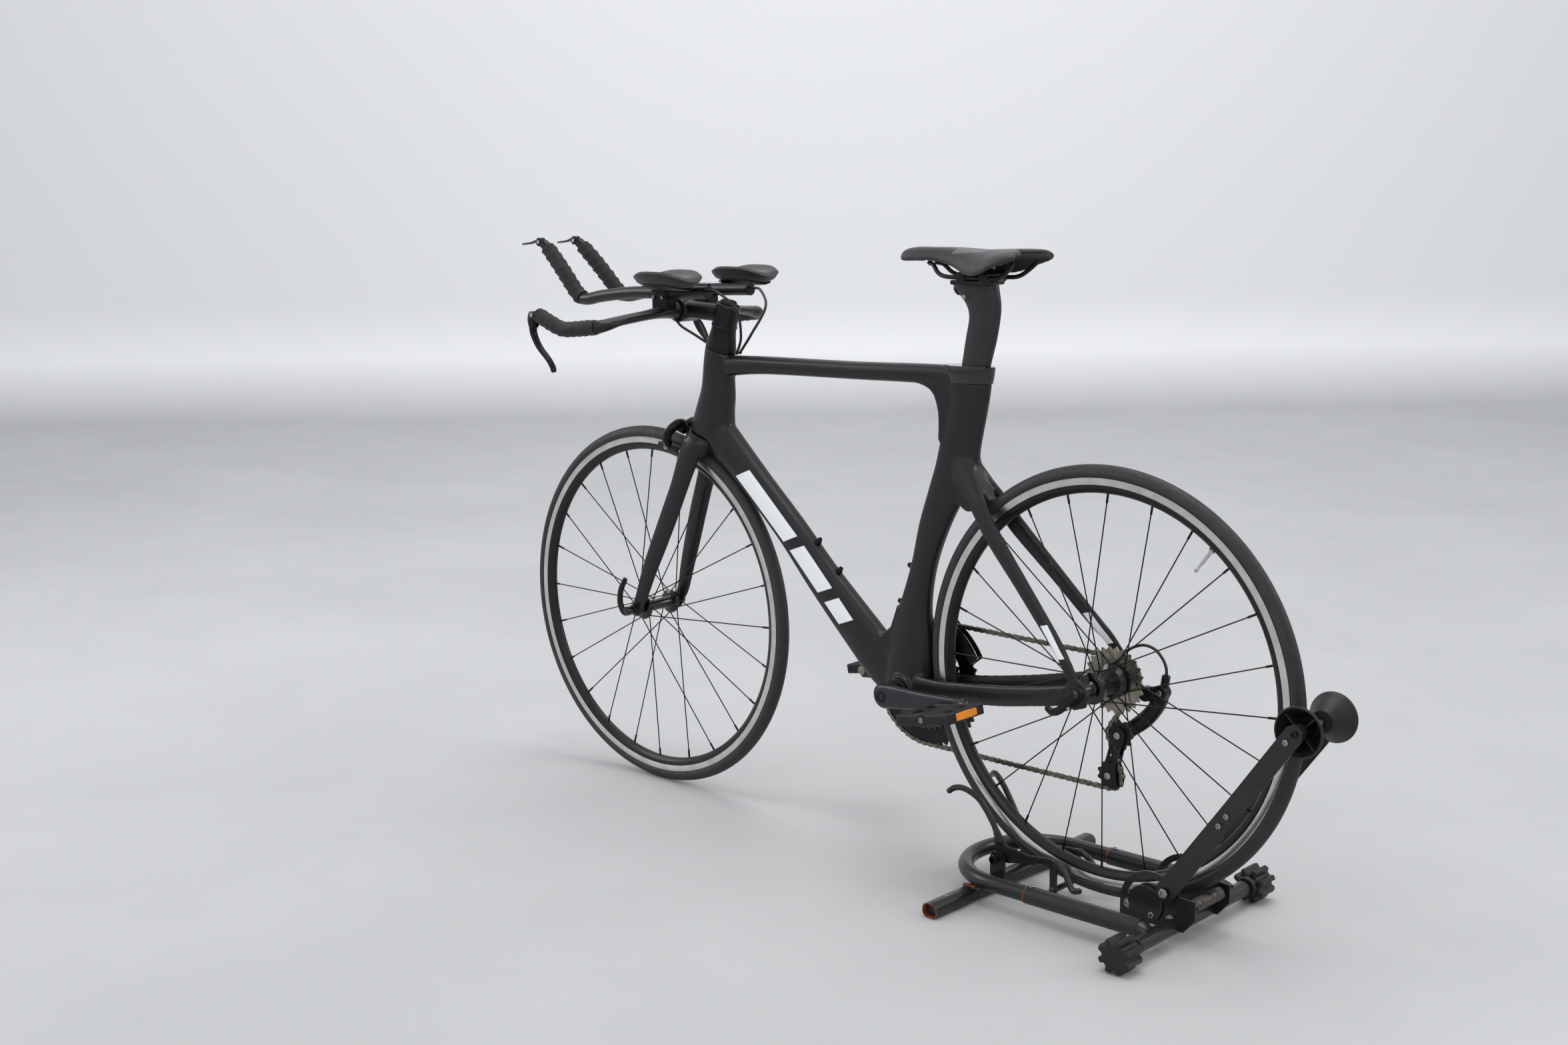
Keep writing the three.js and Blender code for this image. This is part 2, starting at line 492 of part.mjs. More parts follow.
const spindle = (s) => pin([BX - s * PEDAL[0], BZ - s * PEDAL[1]], 5.5,
  Math.min(84 * s, 184 * s), Math.max(84 * s, 184 * s), 12);
add('crank_right', join(
  pin(BOTTOM_BRACKET, 12, -61.5, 50, 18),
  plate(circle(BOTTOM_BRACKET, RING_PITCH - 4.6, 40), 43, 46, windows),
  plate(circle(BOTTOM_BRACKET, 77, 24), 36.4, 39, [circle(BOTTOM_BRACKET, 60, 20)]),
  ...ringBolts, pin(BOTTOM_BRACKET, 24, 42, 72, 16), crankArm(1, 64, 78),
  pin([BX - PEDAL[0], BZ - PEDAL[1]], 13.5, 70, 85, 16), spindle(1)), ...SATIN_BLACK);
add('crank_left', join(pin(BOTTOM_BRACKET, 21, -73, -61.9, 20), crankArm(-1, -69.5, -78),
  pin([BX + PEDAL[0], BZ + PEDAL[1]], 13.5, -85, -70, 16), spindle(-1)), 0x3c3e41, 0.4, 0.6);

for (const [side, s] of [['left', -1], ['right', 1]]) {
  const pedal = groupAt(BX - s * PEDAL[0], 136 * s, BZ - s * PEDAL[1]);
  pedal.rotation.y = THREE.MathUtils.degToRad(-11);
  const outline = [[-54, -9], [-54, 9], [-48, 12], [48, 12], [54, 9], [54, -9], [48, -12], [-48, -12]];
  add(`pedal_${side}`, cut(join(
    cut(plate(outline, -47, 47), box(-41, -15, -34, 34, -20, 20), box(15, 41, -34, 34, -20, 20))),
    pin([0, 0], 6.3, -60, 60, 16)), ...PLASTIC, pedal);
}

// Chain centreline: over the ring, under and around both pulleys, and over the sprocket.
const chainPath = [
  ...circle(BOTTOM_BRACKET, RING_PITCH, 18, 90, 180),
  ...circle(TENSION_PULLEY, PULLEY_PITCH, 5, 270, 115.8),
  ...circle(GUIDE_PULLEY, PULLEY_PITCH, 3, 205.8, -62),
  ...circle(REAR_AXLE, SPROCKET_PITCH, 6, -36.2, 126.2),
].map(([x, z]) => V(x, CHAIN_LINE, z));
add('chain', sweep(chainPath, Y, [3.2, 4.1], { n: 4, power: 40, looped: true }), ...STEEL);

const pulley = (centre) => cut(pin(centre, PULLEY_PITCH - 4.8, CHAIN_LINE - 2, CHAIN_LINE + 2, 22),
  pin(centre, 4, 0, 80, 12));
add('guide_pulley', pulley(GUIDE_PULLEY), ...PLASTIC);
add('tension_pulley', pulley(TENSION_PULLEY), ...PLASTIC);
const cagePlate = (y0, y1) => plate([
  ...circle(GUIDE_PULLEY, 15, 6, -13, 180), ...circle(TENSION_PULLEY, 12, 6, 167, 180)], y0, y1);
add('derailleur_cage', join(cagePlate(36.5, 38.5), cagePlate(50.5, 53),
  pin(GUIDE_PULLEY, 3.4, 37, 52, 10), pin(TENSION_PULLEY, 3.4, 37, 52, 10)), ...SATIN_BLACK);
add('rear_derailleur', join(
  pin([22, 331], 12, 72, 86, 16), pin([50, 338], 12, 70, 88, 16),
  sweep([V(18, 80, 331), V(36, 80, 335), V(52, 80, 338)], Y, [7, 9], { n: 8, power: 3 }),
  sweep([V(52, 80, 340), V(38, 82, 312), V(20, 78, 288), V(0, 66, 270)], Y,
    [[9, 11], [10, 12], [9, 13], [7, 12]], { n: 10, power: 3 }),
  pin(GUIDE_PULLEY, 12, 53.4, 68, 16), rod(V(52, 80, 340), V(58, 78, 364), 7, 12)), ...SATIN_BLACK);

const arc = (r, a0, a1, n) => circle(BOTTOM_BRACKET, r, n, a0, a1 - a0);
const cageSide = (y0, y1) => plate([...arc(105.5, 26, 58, 5), [-352, 404], [-330, 404],
  ...arc(126, 56, 28, 5)], y0, y1);
add('front_derailleur', join(cageSide(37, 39), cageSide(49.4, 51),
  box(-351, -331, 37.5, 50.5, 398.5, 403.5), box(-352, -334, 26, 38.6, 390, 403)), ...STEEL);

// ---- Quick-release levers -----------------------------------------------------------------
add('front_qr_lever', sweep([V(-1001, -72.6, 336), V(-1013, -73.5, 335), V(-1022, -73.5, 349),
  V(-1021, -72, 372), V(-1011, -69, 396)], Y, [[3.6, 8], [4, 7], [4, 6], [3.6, 6], [3, 5]],
  { n: 8, power: 2.6 }), ...SATIN_BLACK);
add('rear_qr_lever', sweep([V(3, -88.6, 360), V(-8, -89, 352), V(-20, -89, 334), V(-36, -87, 327),
  V(-50, -84, 331)], Y, [[3.6, 8], [4, 7], [4, 6], [3.6, 6], [3, 5]], { n: 8, power: 2.6 }),
  ...SATIN_BLACK);

// ---- Stand --------------------------------------------------------------------------------
const rearBar = (grow) => rod(V(REAR_BAR[0], -150 - grow, REAR_BAR[1]),
  V(REAR_BAR[0], 150 + grow, REAR_BAR[1]), STAND_TUBE + grow, 16);
const loopPoints = [V(-60.3, -RAIL_SPACING, STAND_TUBE_Z), V(-100, -RAIL_SPACING, STAND_TUBE_Z),
  ...circle([-125, 0], RAIL_SPACING, 14, 270, -180).map(([x, y]) => V(x, y, STAND_TUBE_Z)),
  V(-100, RAIL_SPACING, STAND_TUBE_Z), V(-60.3, RAIL_SPACING, STAND_TUBE_Z)];
add('stand_front_loop', sweep(loopPoints, Z, [STAND_TUBE, STAND_TUBE], { n: 10 }), ...COATED_STEEL);

const CRADLE_PIN = [-172, 50];
const ear = (s) => join(
  plate([[-186, 20], [-186, 52], [-180, 60], [-164, 60], [-158, 52], [-158, 20]],
    Math.min(38 * s, 42 * s), Math.max(38 * s, 42 * s)),
  pin(CRADLE_PIN, 5, Math.min(26 * s, 50 * s), Math.max(26 * s, 50 * s), 12));
add('stand_front_bar', join(
  sweep([V(FRONT_BAR[0], -212, FRONT_BAR[1]), V(FRONT_BAR[0], 212, FRONT_BAR[1])], Z,
    [12.3, 14.5], { n: 14, power: 2.4 }), ear(-1), ear(1)), ...COATED_STEEL);

add('stand_rear_bar', join(rearBar(0), pin(REAR_BAR, 9, -204, -149), pin(REAR_BAR, 9, 149, 204)),
  ...COATED_STEEL);
for (const [side, s] of [['left', -1], ['right', 1]]) {
  const y = RAIL_SPACING * s;
  add(`stand_rail_${side}`, cut(rod(V(-60, y, STAND_TUBE_Z), V(157, y, STAND_TUBE_Z), 14.2, 14),
    rearBar(GAP)), ...COATED_STEEL);

  const teeth = Array.from({ length: 32 }, (_, i) => {
    const t = THREE.MathUtils.degToRad(-90 + 11.25 * (i - 0.5));
    const r = i % 4 < 2 ? 27.12 : 22.5;
    return [REAR_BAR[0] + r * Math.cos(t), REAR_BAR[1] + r * Math.sin(t)];
  });
  const [k0, k1] = [Math.min(156 * s, 206 * s), Math.max(156 * s, 206 * s)];
  add(`stand_knob_${side}`, cut(plate(teeth, k0, k1), pin(REAR_BAR, 9.5, k0 - 5, k1 + 5, 20)),
    ...PLASTIC);

  const between = (a, b) => [Math.min(a * s, b * s), Math.max(a * s, b * s)];
  const guardOutline = [[66, 21], ...circle([121, 47], 55, 10, 180, -150), [196, 72], [196, 44],
    [176, 21]];
  const slot = [...circle([121, 47], 45, 8, 165, -95), ...circle([121, 47], 37, 8, 70, 95)];
  add(`stand_guard_${side}`, cut(join(
    plate(guardOutline, ...between(46, 50), [slot]),
    pin(ARM_PIVOT, 5, ...between(49, 66), 12), pin(ARM_PIVOT, 9, ...between(63.2, 67), 6)),
    rearBar(GAP)), ...COATED_STEEL);

  const cone = groupAt(CONE_AXLE[0], 0, CONE_AXLE[1]);
  add(`stand_cone_${side}`, turned(closed([[6, 16], [15, 16], [18.5, 20], [37, 48], [37, 52],
    [34.5, 52], [15, 21], [11, 21], [11, 50], [6, 50]].map(([r, d]) => [r, d * s])), 20),
    ...PLASTIC, cone);
}

const cradleSide = (s) => {
  const y = (a, b) => [Math.min(a * s, b * s), Math.max(a * s, b * s)];
  return join(
    sweep(smooth([V(-270, 70 * s, 149), V(-256, 58 * s, 154), V(-236, 44 * s, 154),
      V(-210, 34 * s, 138), V(-186, 31 * s, 102), V(-172, 31 * s, 72)], 9), Y, [5, 5], { n: 6 }),
    plate([[-188, 94], [-178, 96], [-160, 72], [-120, 66], [-58, 72], [-52, 62], [-120, 52],
      [-158, 42], [-180, 42]], ...y(29, 34), [circle(CRADLE_PIN, 5.6, 12)]),
    sweep(smooth([V(-64, 32 * s, 66), V(-48, 34 * s, 58), V(-36, 38 * s, 42), V(-24, 42 * s, 32),
      V(-12, 44 * s, 36)], 6), Y, [5, 5], { n: 6 }));
};
add('stand_cradle', join(cradleSide(-1), cradleSide(1),
  pin([-70, 19], 5, -38, 38, 10),
  plate([[-76, 13], [-76, 70], [-63, 70], [-63, 13]], -34, -29),
  plate([[-76, 13], [-76, 70], [-63, 70], [-63, 13]], 29, 34)), ...COATED_STEEL);

const armSide = (s) => {
  const [x0, z0] = ARM_PIVOT;
  const [x1, z1] = CONE_AXLE;
  const t = Math.atan2(z1 - z0, x1 - x0) * (180 / Math.PI);
  const y = (a, b) => [Math.min(a * s, b * s), Math.max(a * s, b * s)];
  const mid = [x0 + (x1 - x0) * 0.52, z0 + (z1 - z0) * 0.52];
  const lower = plate([...circle(ARM_PIVOT, 16, 8, t + 90, 180), ...circle(mid, 16, 8, t - 90, 180)],
    ...y(56, 59.5), [circle(ARM_PIVOT, 5.6, 12)]);
  const low = [x0 + (x1 - x0) * 0.42, z0 + (z1 - z0) * 0.42];
  const upper = plate([...circle(low, 14, 8, t + 90, 180), ...circle(CONE_AXLE, 15, 8, t - 90, 180)],
    ...y(59, 62.5));
  return join(lower, upper);
};
add('stand_arm', join(armSide(-1), armSide(1), pin(CONE_AXLE, 5, -60, 60, 12)), ...COATED_STEEL);
add('stand_spring', join(rod(V(184, -40, 60), V(184, 42, 60), 10.5, 14),
  rod(V(184, 46 - GAP, 60), V(184, GAP - 46, 60), 5, 10)), ...STEEL);

// The origin is the middle of the footprint on the floor.
const bounds = new THREE.Box3().setFromObject(root);
root.position.x = -(bounds.min.x + bounds.max.x) / 2;
root.updateMatrixWorld(true);

export default root;
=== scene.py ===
# Looks of the time-trial bicycle in its floor stand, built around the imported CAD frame.
# Shapes are drawn in millimetres from the rear axle's foot on the floor (bicycle towards -X,
# chain side +Y) and are placed in the row frame, in metres, when each piece is made.
import math

import bpy
import bmesh
import numpy as np
from mathutils import Matrix, Vector, geometry


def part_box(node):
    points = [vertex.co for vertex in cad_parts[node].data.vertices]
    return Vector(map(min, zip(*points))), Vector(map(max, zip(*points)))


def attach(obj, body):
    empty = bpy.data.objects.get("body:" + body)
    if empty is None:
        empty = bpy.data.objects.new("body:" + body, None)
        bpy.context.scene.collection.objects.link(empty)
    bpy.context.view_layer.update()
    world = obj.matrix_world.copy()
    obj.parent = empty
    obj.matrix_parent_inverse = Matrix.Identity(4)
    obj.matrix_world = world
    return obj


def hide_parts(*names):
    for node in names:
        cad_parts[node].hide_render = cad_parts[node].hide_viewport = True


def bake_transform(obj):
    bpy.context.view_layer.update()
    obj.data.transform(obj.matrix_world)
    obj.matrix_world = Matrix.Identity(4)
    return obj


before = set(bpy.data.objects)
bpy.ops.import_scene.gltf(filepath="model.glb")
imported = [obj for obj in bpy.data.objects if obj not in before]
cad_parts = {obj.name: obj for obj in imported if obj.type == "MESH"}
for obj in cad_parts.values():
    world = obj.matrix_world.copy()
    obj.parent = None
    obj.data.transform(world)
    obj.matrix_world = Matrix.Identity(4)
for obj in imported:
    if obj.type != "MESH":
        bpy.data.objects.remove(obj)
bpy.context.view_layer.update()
lo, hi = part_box("rear_tyre")
SHIFT = 1000 * (lo.x + hi.x) / 2
BASE = "frame_and_stand"       # the body that stands still
# Axles, as x and z: the two wheels, the bottom bracket, the derailleur's two pulleys.
REAR, FRONT, BB, GUIDE, TENSION = (0, 359.65), (-1001.4, 336), (-385, 285), (-2, 268), (-18, 200)
REAR_AXLE, FRONT_AXLE, BB_AXLE = ((x, 0, z) for x, z in (REAR, FRONT, BB))
PITCH, CHAINLINE = 12.7, 44.5
RING_RADIUS, SPROCKET_RADIUS, PULLEY_RADIUS = 107.5, 30.5, 22
CRANK_LENGTH, CRANK_ANGLE = 172.5, math.radians(5.1)
# Stand: x of the front foot bar, y of the rails, x and z of the rear bar, arm pivot and cones.
FOOT_X, RAIL_Y, REAR_BAR, ARM_PIVOT, CONE_AXLE = -172, 112, (158, 27), (150, 80), (352, 362)
# Camera, solved from the photograph: focal length and image width in pixels, film width, eye.
FOCAL, PHOTO_WIDTH, FILM, EYE = 2923.17, 2352, 36, (1627.2, -2412.1, 1145.7)
SHARP = math.radians(38)
TILT = math.radians(16)
UP = np.array([math.sin(TILT), 0, math.cos(TILT)])
BACK = np.array([math.cos(TILT), 0, -math.sin(TILT)])
X, Y, Z = np.eye(3)


def metres(p):
    return ((p[0] + SHIFT) / 1000, p[1] / 1000, p[2] / 1000)


# ---- Camera --------------------------------------------------------------------------------
def camera():
    yaw, pitch, roll = math.radians(43.61), math.radians(-10.47), math.radians(-0.81)
    f = Vector((-math.sin(yaw) * math.cos(pitch), math.cos(yaw) * math.cos(pitch), math.sin(pitch)))
    right = Vector((math.cos(yaw), math.sin(yaw), 0))
    up = right.cross(f)
    r2 = right * math.cos(roll) + up * math.sin(roll)
    u2 = up * math.cos(roll) - right * math.sin(roll)
    data = bpy.data.cameras.new("camera")
    data.sensor_width, data.lens = FILM, FOCAL / PHOTO_WIDTH * FILM
    data.clip_start, data.clip_end = 0.05, 60
    cam = bpy.data.objects.new("camera", data)
    m = np.eye(4)
    for i, axis in enumerate((r2, u2, -f)):
        m[:3, i] = axis
    m[:3, 3] = metres(EYE)
    cam.matrix_world = Matrix(m.tolist())
    bpy.context.scene.collection.objects.link(cam)
    bpy.context.scene.camera = cam


camera()


# ---- Materials -----------------------------------------------------------------------------
class Nodes:
    """A node tree under construction."""

    def __init__(self, name):
        self.mat = bpy.data.materials.new(name)
        self.mat.use_nodes = True
        self.tree = self.mat.node_tree
        self.shader = self.tree.nodes["Principled BSDF"]
        self.place = self.add("ShaderNodeTexCoord").outputs["Object"]

    def add(self, kind, **inputs):
        node = self.tree.nodes.new(kind)
        for key, value in inputs.items():
            node.inputs[key].default_value = value
        return node

    def link(self, a, b):
        self.tree.links.new(a, b)

    def noise(self, scale, detail=4):
        n = self.add("ShaderNodeTexNoise", Scale=scale, Detail=detail, Roughness=0.6)
        self.link(self.place, n.inputs["Vector"])
        return n.outputs["Fac"]

    def ramp(self, value, stops):
        n = self.add("ShaderNodeValToRGB")
        self.link(value, n.inputs["Fac"])
        ramp = n.color_ramp
        while len(ramp.elements) < len(stops):
            ramp.elements.new(0.5)
        for e, (at, c) in zip(ramp.elements, stops):
            e.position = at
            e.color = (*c, 1)
        return n.outputs["Color"]

    def span(self, value, a, b, c, d):
        n = self.add("ShaderNodeMapRange")
        self.link(value, n.inputs["Value"])
        for key, v in zip(("From Min", "From Max", "To Min", "To Max"), (a, b, c, d)):
            n.inputs[key].default_value = v
        return n.outputs["Result"]

    def math(self, op, a, b=0.0):
        n = self.tree.nodes.new("ShaderNodeMath")
        n.operation = op
        for i, v in enumerate((a, b)):
            if hasattr(v, "is_linked"):
                self.link(v, n.inputs[i])
            else:
                n.inputs[i].default_value = v
        return n.outputs[0]

    def mix(self, fac, a, b):
        n = self.tree.nodes.new("ShaderNodeMix")
        n.data_type = "RGBA"
        for key, v in ((0, fac), (6, a), (7, b)):
            if hasattr(v, "is_linked"):
                self.link(v, n.inputs[key])
            else:
                n.inputs[key].default_value = v if key == 0 else (*v, 1)
        return n.outputs[2]

    def bump(self, height, strength, distance):
        n = self.add("ShaderNodeBump", Strength=strength, Distance=distance)
        self.link(height, n.inputs["Height"])
        old = self.shader.inputs["Normal"]
        if old.is_linked:
            self.link(old.links[0].from_socket, n.inputs["Normal"])
        self.link(n.outputs["Normal"], old)


def surface(name, dark, light, rough, metal=0.0, scale=14, grain=900, bump=0.15, depth=0.0002,
            coat=0.0, sheen=0.0):
    """Colour and gloss that drift over the surface, with a fine grain."""
    n = Nodes(name)
    drift = n.noise(scale, 5)
    colour = n.ramp(drift, [(0.3, dark), (0.7, light)])
    n.link(colour, n.shader.inputs["Base Color"])
    n.link(n.span(n.noise(scale * 6, 6), 0.25, 0.75, rough - 0.07, rough + 0.08),
           n.shader.inputs["Roughness"])
    n.shader.inputs["Metallic"].default_value = metal
    n.shader.inputs["Specular IOR Level"].default_value = 0.3
    n.shader.inputs["Coat Weight"].default_value = coat
    n.shader.inputs["Coat Roughness"].default_value = 0.15
    n.shader.inputs["Sheen Weight"].default_value = sheen
    n.bump(n.noise(grain, 3), bump, depth)
    return n


def coordinate(n):
    s = n.add("ShaderNodeSeparateXYZ")
    n.link(n.place, s.inputs[0])
    return s.outputs


def band(n, value, a, b, soft=0.0006):
    """1 between a and b."""
    up = n.span(value, a - soft, a + soft, 0, 1)
    down = n.span(value, b - soft, b + soft, 1, 0)
    return n.math("MULTIPLY", up, down)


def painted(name, stripes=(), coat=0.16):
    """Satin charcoal paint with a fine metallic fleck. Each stripe is a line's start and end as
    [x, z], the height above and below it, and the slant of its ends."""
    n = surface(name, (0.0065, 0.0068, 0.0075), (0.010, 0.0105, 0.0115), 0.4, 0.1, 5, 2600, 0.05, 0.00005,
                coat)
    fleck = n.add("ShaderNodeTexVoronoi", Scale=2300.0)
    n.link(n.place, fleck.inputs["Vector"])
    base = n.shader.inputs["Base Color"].links[0].from_socket
    colour = n.mix(n.span(fleck.outputs["Distance"], 0.0, 0.3, 0.35, 0), base, (0.035, 0.037, 0.042))
    x, _, z = coordinate(n)
    for (x0, z0), (x1, z1), low, high, slant in stripes:
        a, b = Vector(metres((x0, 0, z0))).xz, Vector(metres((x1, 0, z1))).xz
        t = (b - a).normalized()
        w = Vector((t.y, -t.x))
        along = n.math("ADD", n.math("MULTIPLY", x, t.x), n.math("MULTIPLY", z, t.y))
        aside = n.math("ADD", n.math("MULTIPLY", x, w.x), n.math("MULTIPLY", z, w.y))
        aside = n.math("SUBTRACT", aside, a.dot(w))
        along = n.math("SUBTRACT", n.math("SUBTRACT", along, a.dot(t)), n.math("MULTIPLY", aside, slant))
        side = n.add("ShaderNodeNewGeometry")
        s = n.add("ShaderNodeSeparateXYZ")
        n.link(side.outputs["Normal"], s.inputs[0])
        flank = n.span(n.math("ABSOLUTE", s.outputs[1]), 0.3, 0.36, 0, 1)
        fac = n.math("MULTIPLY", n.math("MULTIPLY", band(n, along, 0, (b - a).length),
                                        band(n, aside, low / 1000, high / 1000)), flank)
        colour = n.mix(fac, colour, (0.90, 0.91, 0.92))
    n.link(colour, n.shader.inputs["Base Color"])
    return n.mat


def rusty(name):
    """Black powder coat with orange rust where the coat is thin."""
    n = surface(name, (0.0075, 0.0075, 0.008), (0.015, 0.015, 0.016), 0.36, 0.0, 20, 1500, 0.12, 0.0001,
                0.25)
    base = n.shader.inputs["Base Color"].links[0].from_socket
    spots = n.math("MULTIPLY", n.span(n.noise(26, 6), 0.69, 0.76, 0, 0.8),
                   n.span(n.noise(300, 3), 0.4, 0.55, 0.2, 1))
    rust = n.ramp(n.noise(240, 5), [(0.3, (0.06, 0.018, 0.008)), (0.7, (0.18, 0.05, 0.016))])
    n.link(n.mix(spots, base, rust), n.shader.inputs["Base Color"])
    return n.mat


def round_wheel(name, centre):
    """Coordinates about a wheel's axle: angle in turns, radius and side, in metres."""
    n = Nodes(name)
    c = metres((centre[0], 0, centre[1]))
    x, y, z = coordinate(n)
    dx, dz = n.math("SUBTRACT", x, c[0]), n.math("SUBTRACT", z, c[2])
    angle = n.math("DIVIDE", n.math("ARCTAN2", dz, dx), 2 * math.pi)
    radius = n.math("SQRT", n.math("ADD", n.math("POWER", n.math("ABSOLUTE", dx), 2.0),
                                   n.math("POWER", n.math("ABSOLUTE", dz), 2.0)))
    return n, angle, radius, y


def tyre_rubber(name, centre):
    """Smooth black rubber, with fine slanted sipes on the shoulders and dusty sidewalls."""
    n, angle, radius, y = round_wheel(name, centre)
    side = n.math("ABSOLUTE", y)
    dust = n.ramp(n.noise(40, 6), [(0.3, (0.011, 0.012, 0.014)), (0.75, (0.022, 0.024, 0.027))])
    tread = n.ramp(n.noise(120, 5), [(0.3, (0.008, 0.0085, 0.0095)), (0.7, (0.016, 0.017, 0.019))])
    on_tread = n.span(radius, 0.3275, 0.3295, 0, 1)
    colour = n.mix(on_tread, dust, tread)
    n.link(colour, n.shader.inputs["Base Color"])
    n.link(n.span(n.noise(90, 5), 0.3, 0.7, 0.5, 0.66), n.shader.inputs["Roughness"])
    turn = n.math("ADD", n.math("MULTIPLY", angle, 150.0), n.math("MULTIPLY", side, 260.0))
    sipe = n.span(n.math("ABSOLUTE", n.math("SUBTRACT", n.math("FRACT", turn), 0.5)), 0.0, 0.12, 0, 1)
    zone = band(n, side, 0.0045, 0.0092, 0.0003)
    groove = n.math("MULTIPLY", n.math("SUBTRACT", 1.0, sipe), n.math("MULTIPLY", zone, on_tread))
    n.bump(n.math("MULTIPLY", groove, -1.0), 0.7, 0.0008)
    n.bump(n.noise(1800, 3), 0.2, 0.0001)
    return n.mat


def turned_metal(name, centre, dark, light, rough, lines=5200.0, metal=1.0):
    """Machined metal with circular tool lines."""
    n, _, radius, _ = round_wheel(name, centre)
    wave = n.math("SINE", n.math("MULTIPLY", radius, lines))
    colour = n.ramp(n.noise(35, 5), [(0.3, dark), (0.7, light)])
    n.link(colour, n.shader.inputs["Base Color"])
    n.link(n.span(wave, -1, 1, rough - 0.06, rough + 0.08), n.shader.inputs["Roughness"])
    n.shader.inputs["Metallic"].default_value = metal
    n.bump(wave, 0.12, 0.0001)
    return n.mat


def tape_wrap(name):
    n = surface(name, (0.008, 0.008, 0.009), (0.015, 0.015, 0.016), 0.68, 0.0, 60, 1400, 0.35, 0.0002, 0.0,
                0.1)
    weave = n.add("ShaderNodeTexVoronoi", Scale=520.0)
    n.link(n.place, weave.inputs["Vector"])
    n.bump(weave.outputs["Distance"], 0.3, 0.0004)
    return n.mat


def cover(name):
    """Smooth saddle cover, with short pale dashes on the upper nose flank."""
    n = surface(name, (0.012, 0.012, 0.013), (0.020, 0.020, 0.022), 0.48, 0.0, 25, 1700, 0.3, 0.0002, 0.0,
                0.15)
    x, y, _ = coordinate(n)
    along = n.math("SUBTRACT", x, metres((-268, 0, 0))[0])
    side = n.math("ABSOLUTE", y)
    slats = n.span(n.math("SINE", n.math("MULTIPLY", n.math("ADD", along, n.math("MULTIPLY", side, 0.6)),
                                         900.0)), 0.1, 0.3, 0, 1)
    zone = n.math("MULTIPLY", band(n, along, -0.012, 0.048, 0.002), band(n, side, 0.006, 0.024, 0.001))
    base = n.shader.inputs["Base Color"].links[0].from_socket
    n.link(n.mix(n.math("MULTIPLY", slats, zone), base, (0.2, 0.2, 0.21)), n.shader.inputs["Base Color"])
    return n.mat


M_FRAME = painted("frame_paint", [((-752, 611), (-640, 507), -17, 15, -0.45),
                                  ((-625, 493), (-560, 428), -17, 15, -0.45),
                                  ((-545, 413), (-512, 380), -17, 15, -0.45),
                                  ((-72, 450), (-34, 405), -6, 6, -0.45)])
M_FORK = painted("fork_paint")
M_COLLAR = surface("collar_gloss", (0.004, 0.004, 0.0045), (0.006, 0.006, 0.007), 0.14, 0.0, 8, 1500, 0.04,
                   0.00005, 0.8).mat
M_BLACK = surface("black_alloy", (0.009, 0.009, 0.010), (0.016, 0.016, 0.018), 0.32, 0.6, 18, 1900, 0.1,
                  0.0001, 0.1).mat
M_CRANK = surface("crank_grey", (0.030, 0.032, 0.035), (0.050, 0.052, 0.056), 0.32, 0.75, 12, 2200, 0.08,
                  0.0001, 0.15).mat
M_SILVER = surface("silver_alloy", (0.42, 0.42, 0.42), (0.60, 0.60, 0.59), 0.27, 1.0, 26, 2400, 0.1,
                   0.0001).mat
M_STEEL = surface("nickel_steel", (0.17, 0.155, 0.125), (0.38, 0.355, 0.30), 0.3, 1.0, 60, 2200, 0.15,
                  0.0001).mat
M_CHAIN = surface("chain_steel", (0.09, 0.08, 0.062), (0.24, 0.22, 0.18), 0.36, 1.0, 150, 2400, 0.2,
                  0.0001).mat
M_SPOKE = surface("spoke_black", (0.008, 0.008, 0.009), (0.018, 0.018, 0.019), 0.3, 0.7, 30, 2000, 0.05,
                  0.00005).mat
M_HUB = surface("hub_gloss", (0.005, 0.005, 0.006), (0.010, 0.010, 0.011), 0.16, 0.5, 30, 1500, 0.04,
                0.00005, 0.6).mat
M_PLASTIC = surface("moulded_plastic", (0.009, 0.009, 0.010), (0.017, 0.017, 0.018), 0.46, 0.0, 22, 900,
                    0.25, 0.0002).mat
M_FOAM = surface("pad_cover", (0.007, 0.007, 0.008), (0.014, 0.014, 0.015), 0.55, 0.0, 30, 1300, 0.4, 0.0003,
                 0.0, 0.2).mat
M_HOUSING = surface("cable_sleeve", (0.008, 0.008, 0.009), (0.014, 0.014, 0.015), 0.35, 0.0, 40, 1500, 0.1,
                    0.0001, 0.2).mat
M_AMBER = surface("amber_lens", (0.75, 0.20, 0.01), (0.95, 0.33, 0.02), 0.18, 0.0, 60, 420, 0.5, 0.0005,
                  0.5).mat
M_TAPE = tape_wrap("bar_tape")
M_STAND = rusty("powder_coat")
M_RUST = surface("rust", (0.07, 0.022, 0.010), (0.30, 0.085, 0.025), 0.75, 0.0, 90, 1200, 0.5, 0.0004).mat
M_COVER = cover("saddle_cover")
M_BARE = surface("spring_wire", (0.05, 0.045, 0.04), (0.18, 0.165, 0.15), 0.4, 1.0, 120, 1500, 0.3,
                 0.0002).mat
M_ZINC = surface("zinc_bolt", (0.24, 0.24, 0.235), (0.42, 0.42, 0.41), 0.3, 1.0, 80, 1800, 0.2, 0.0001).mat


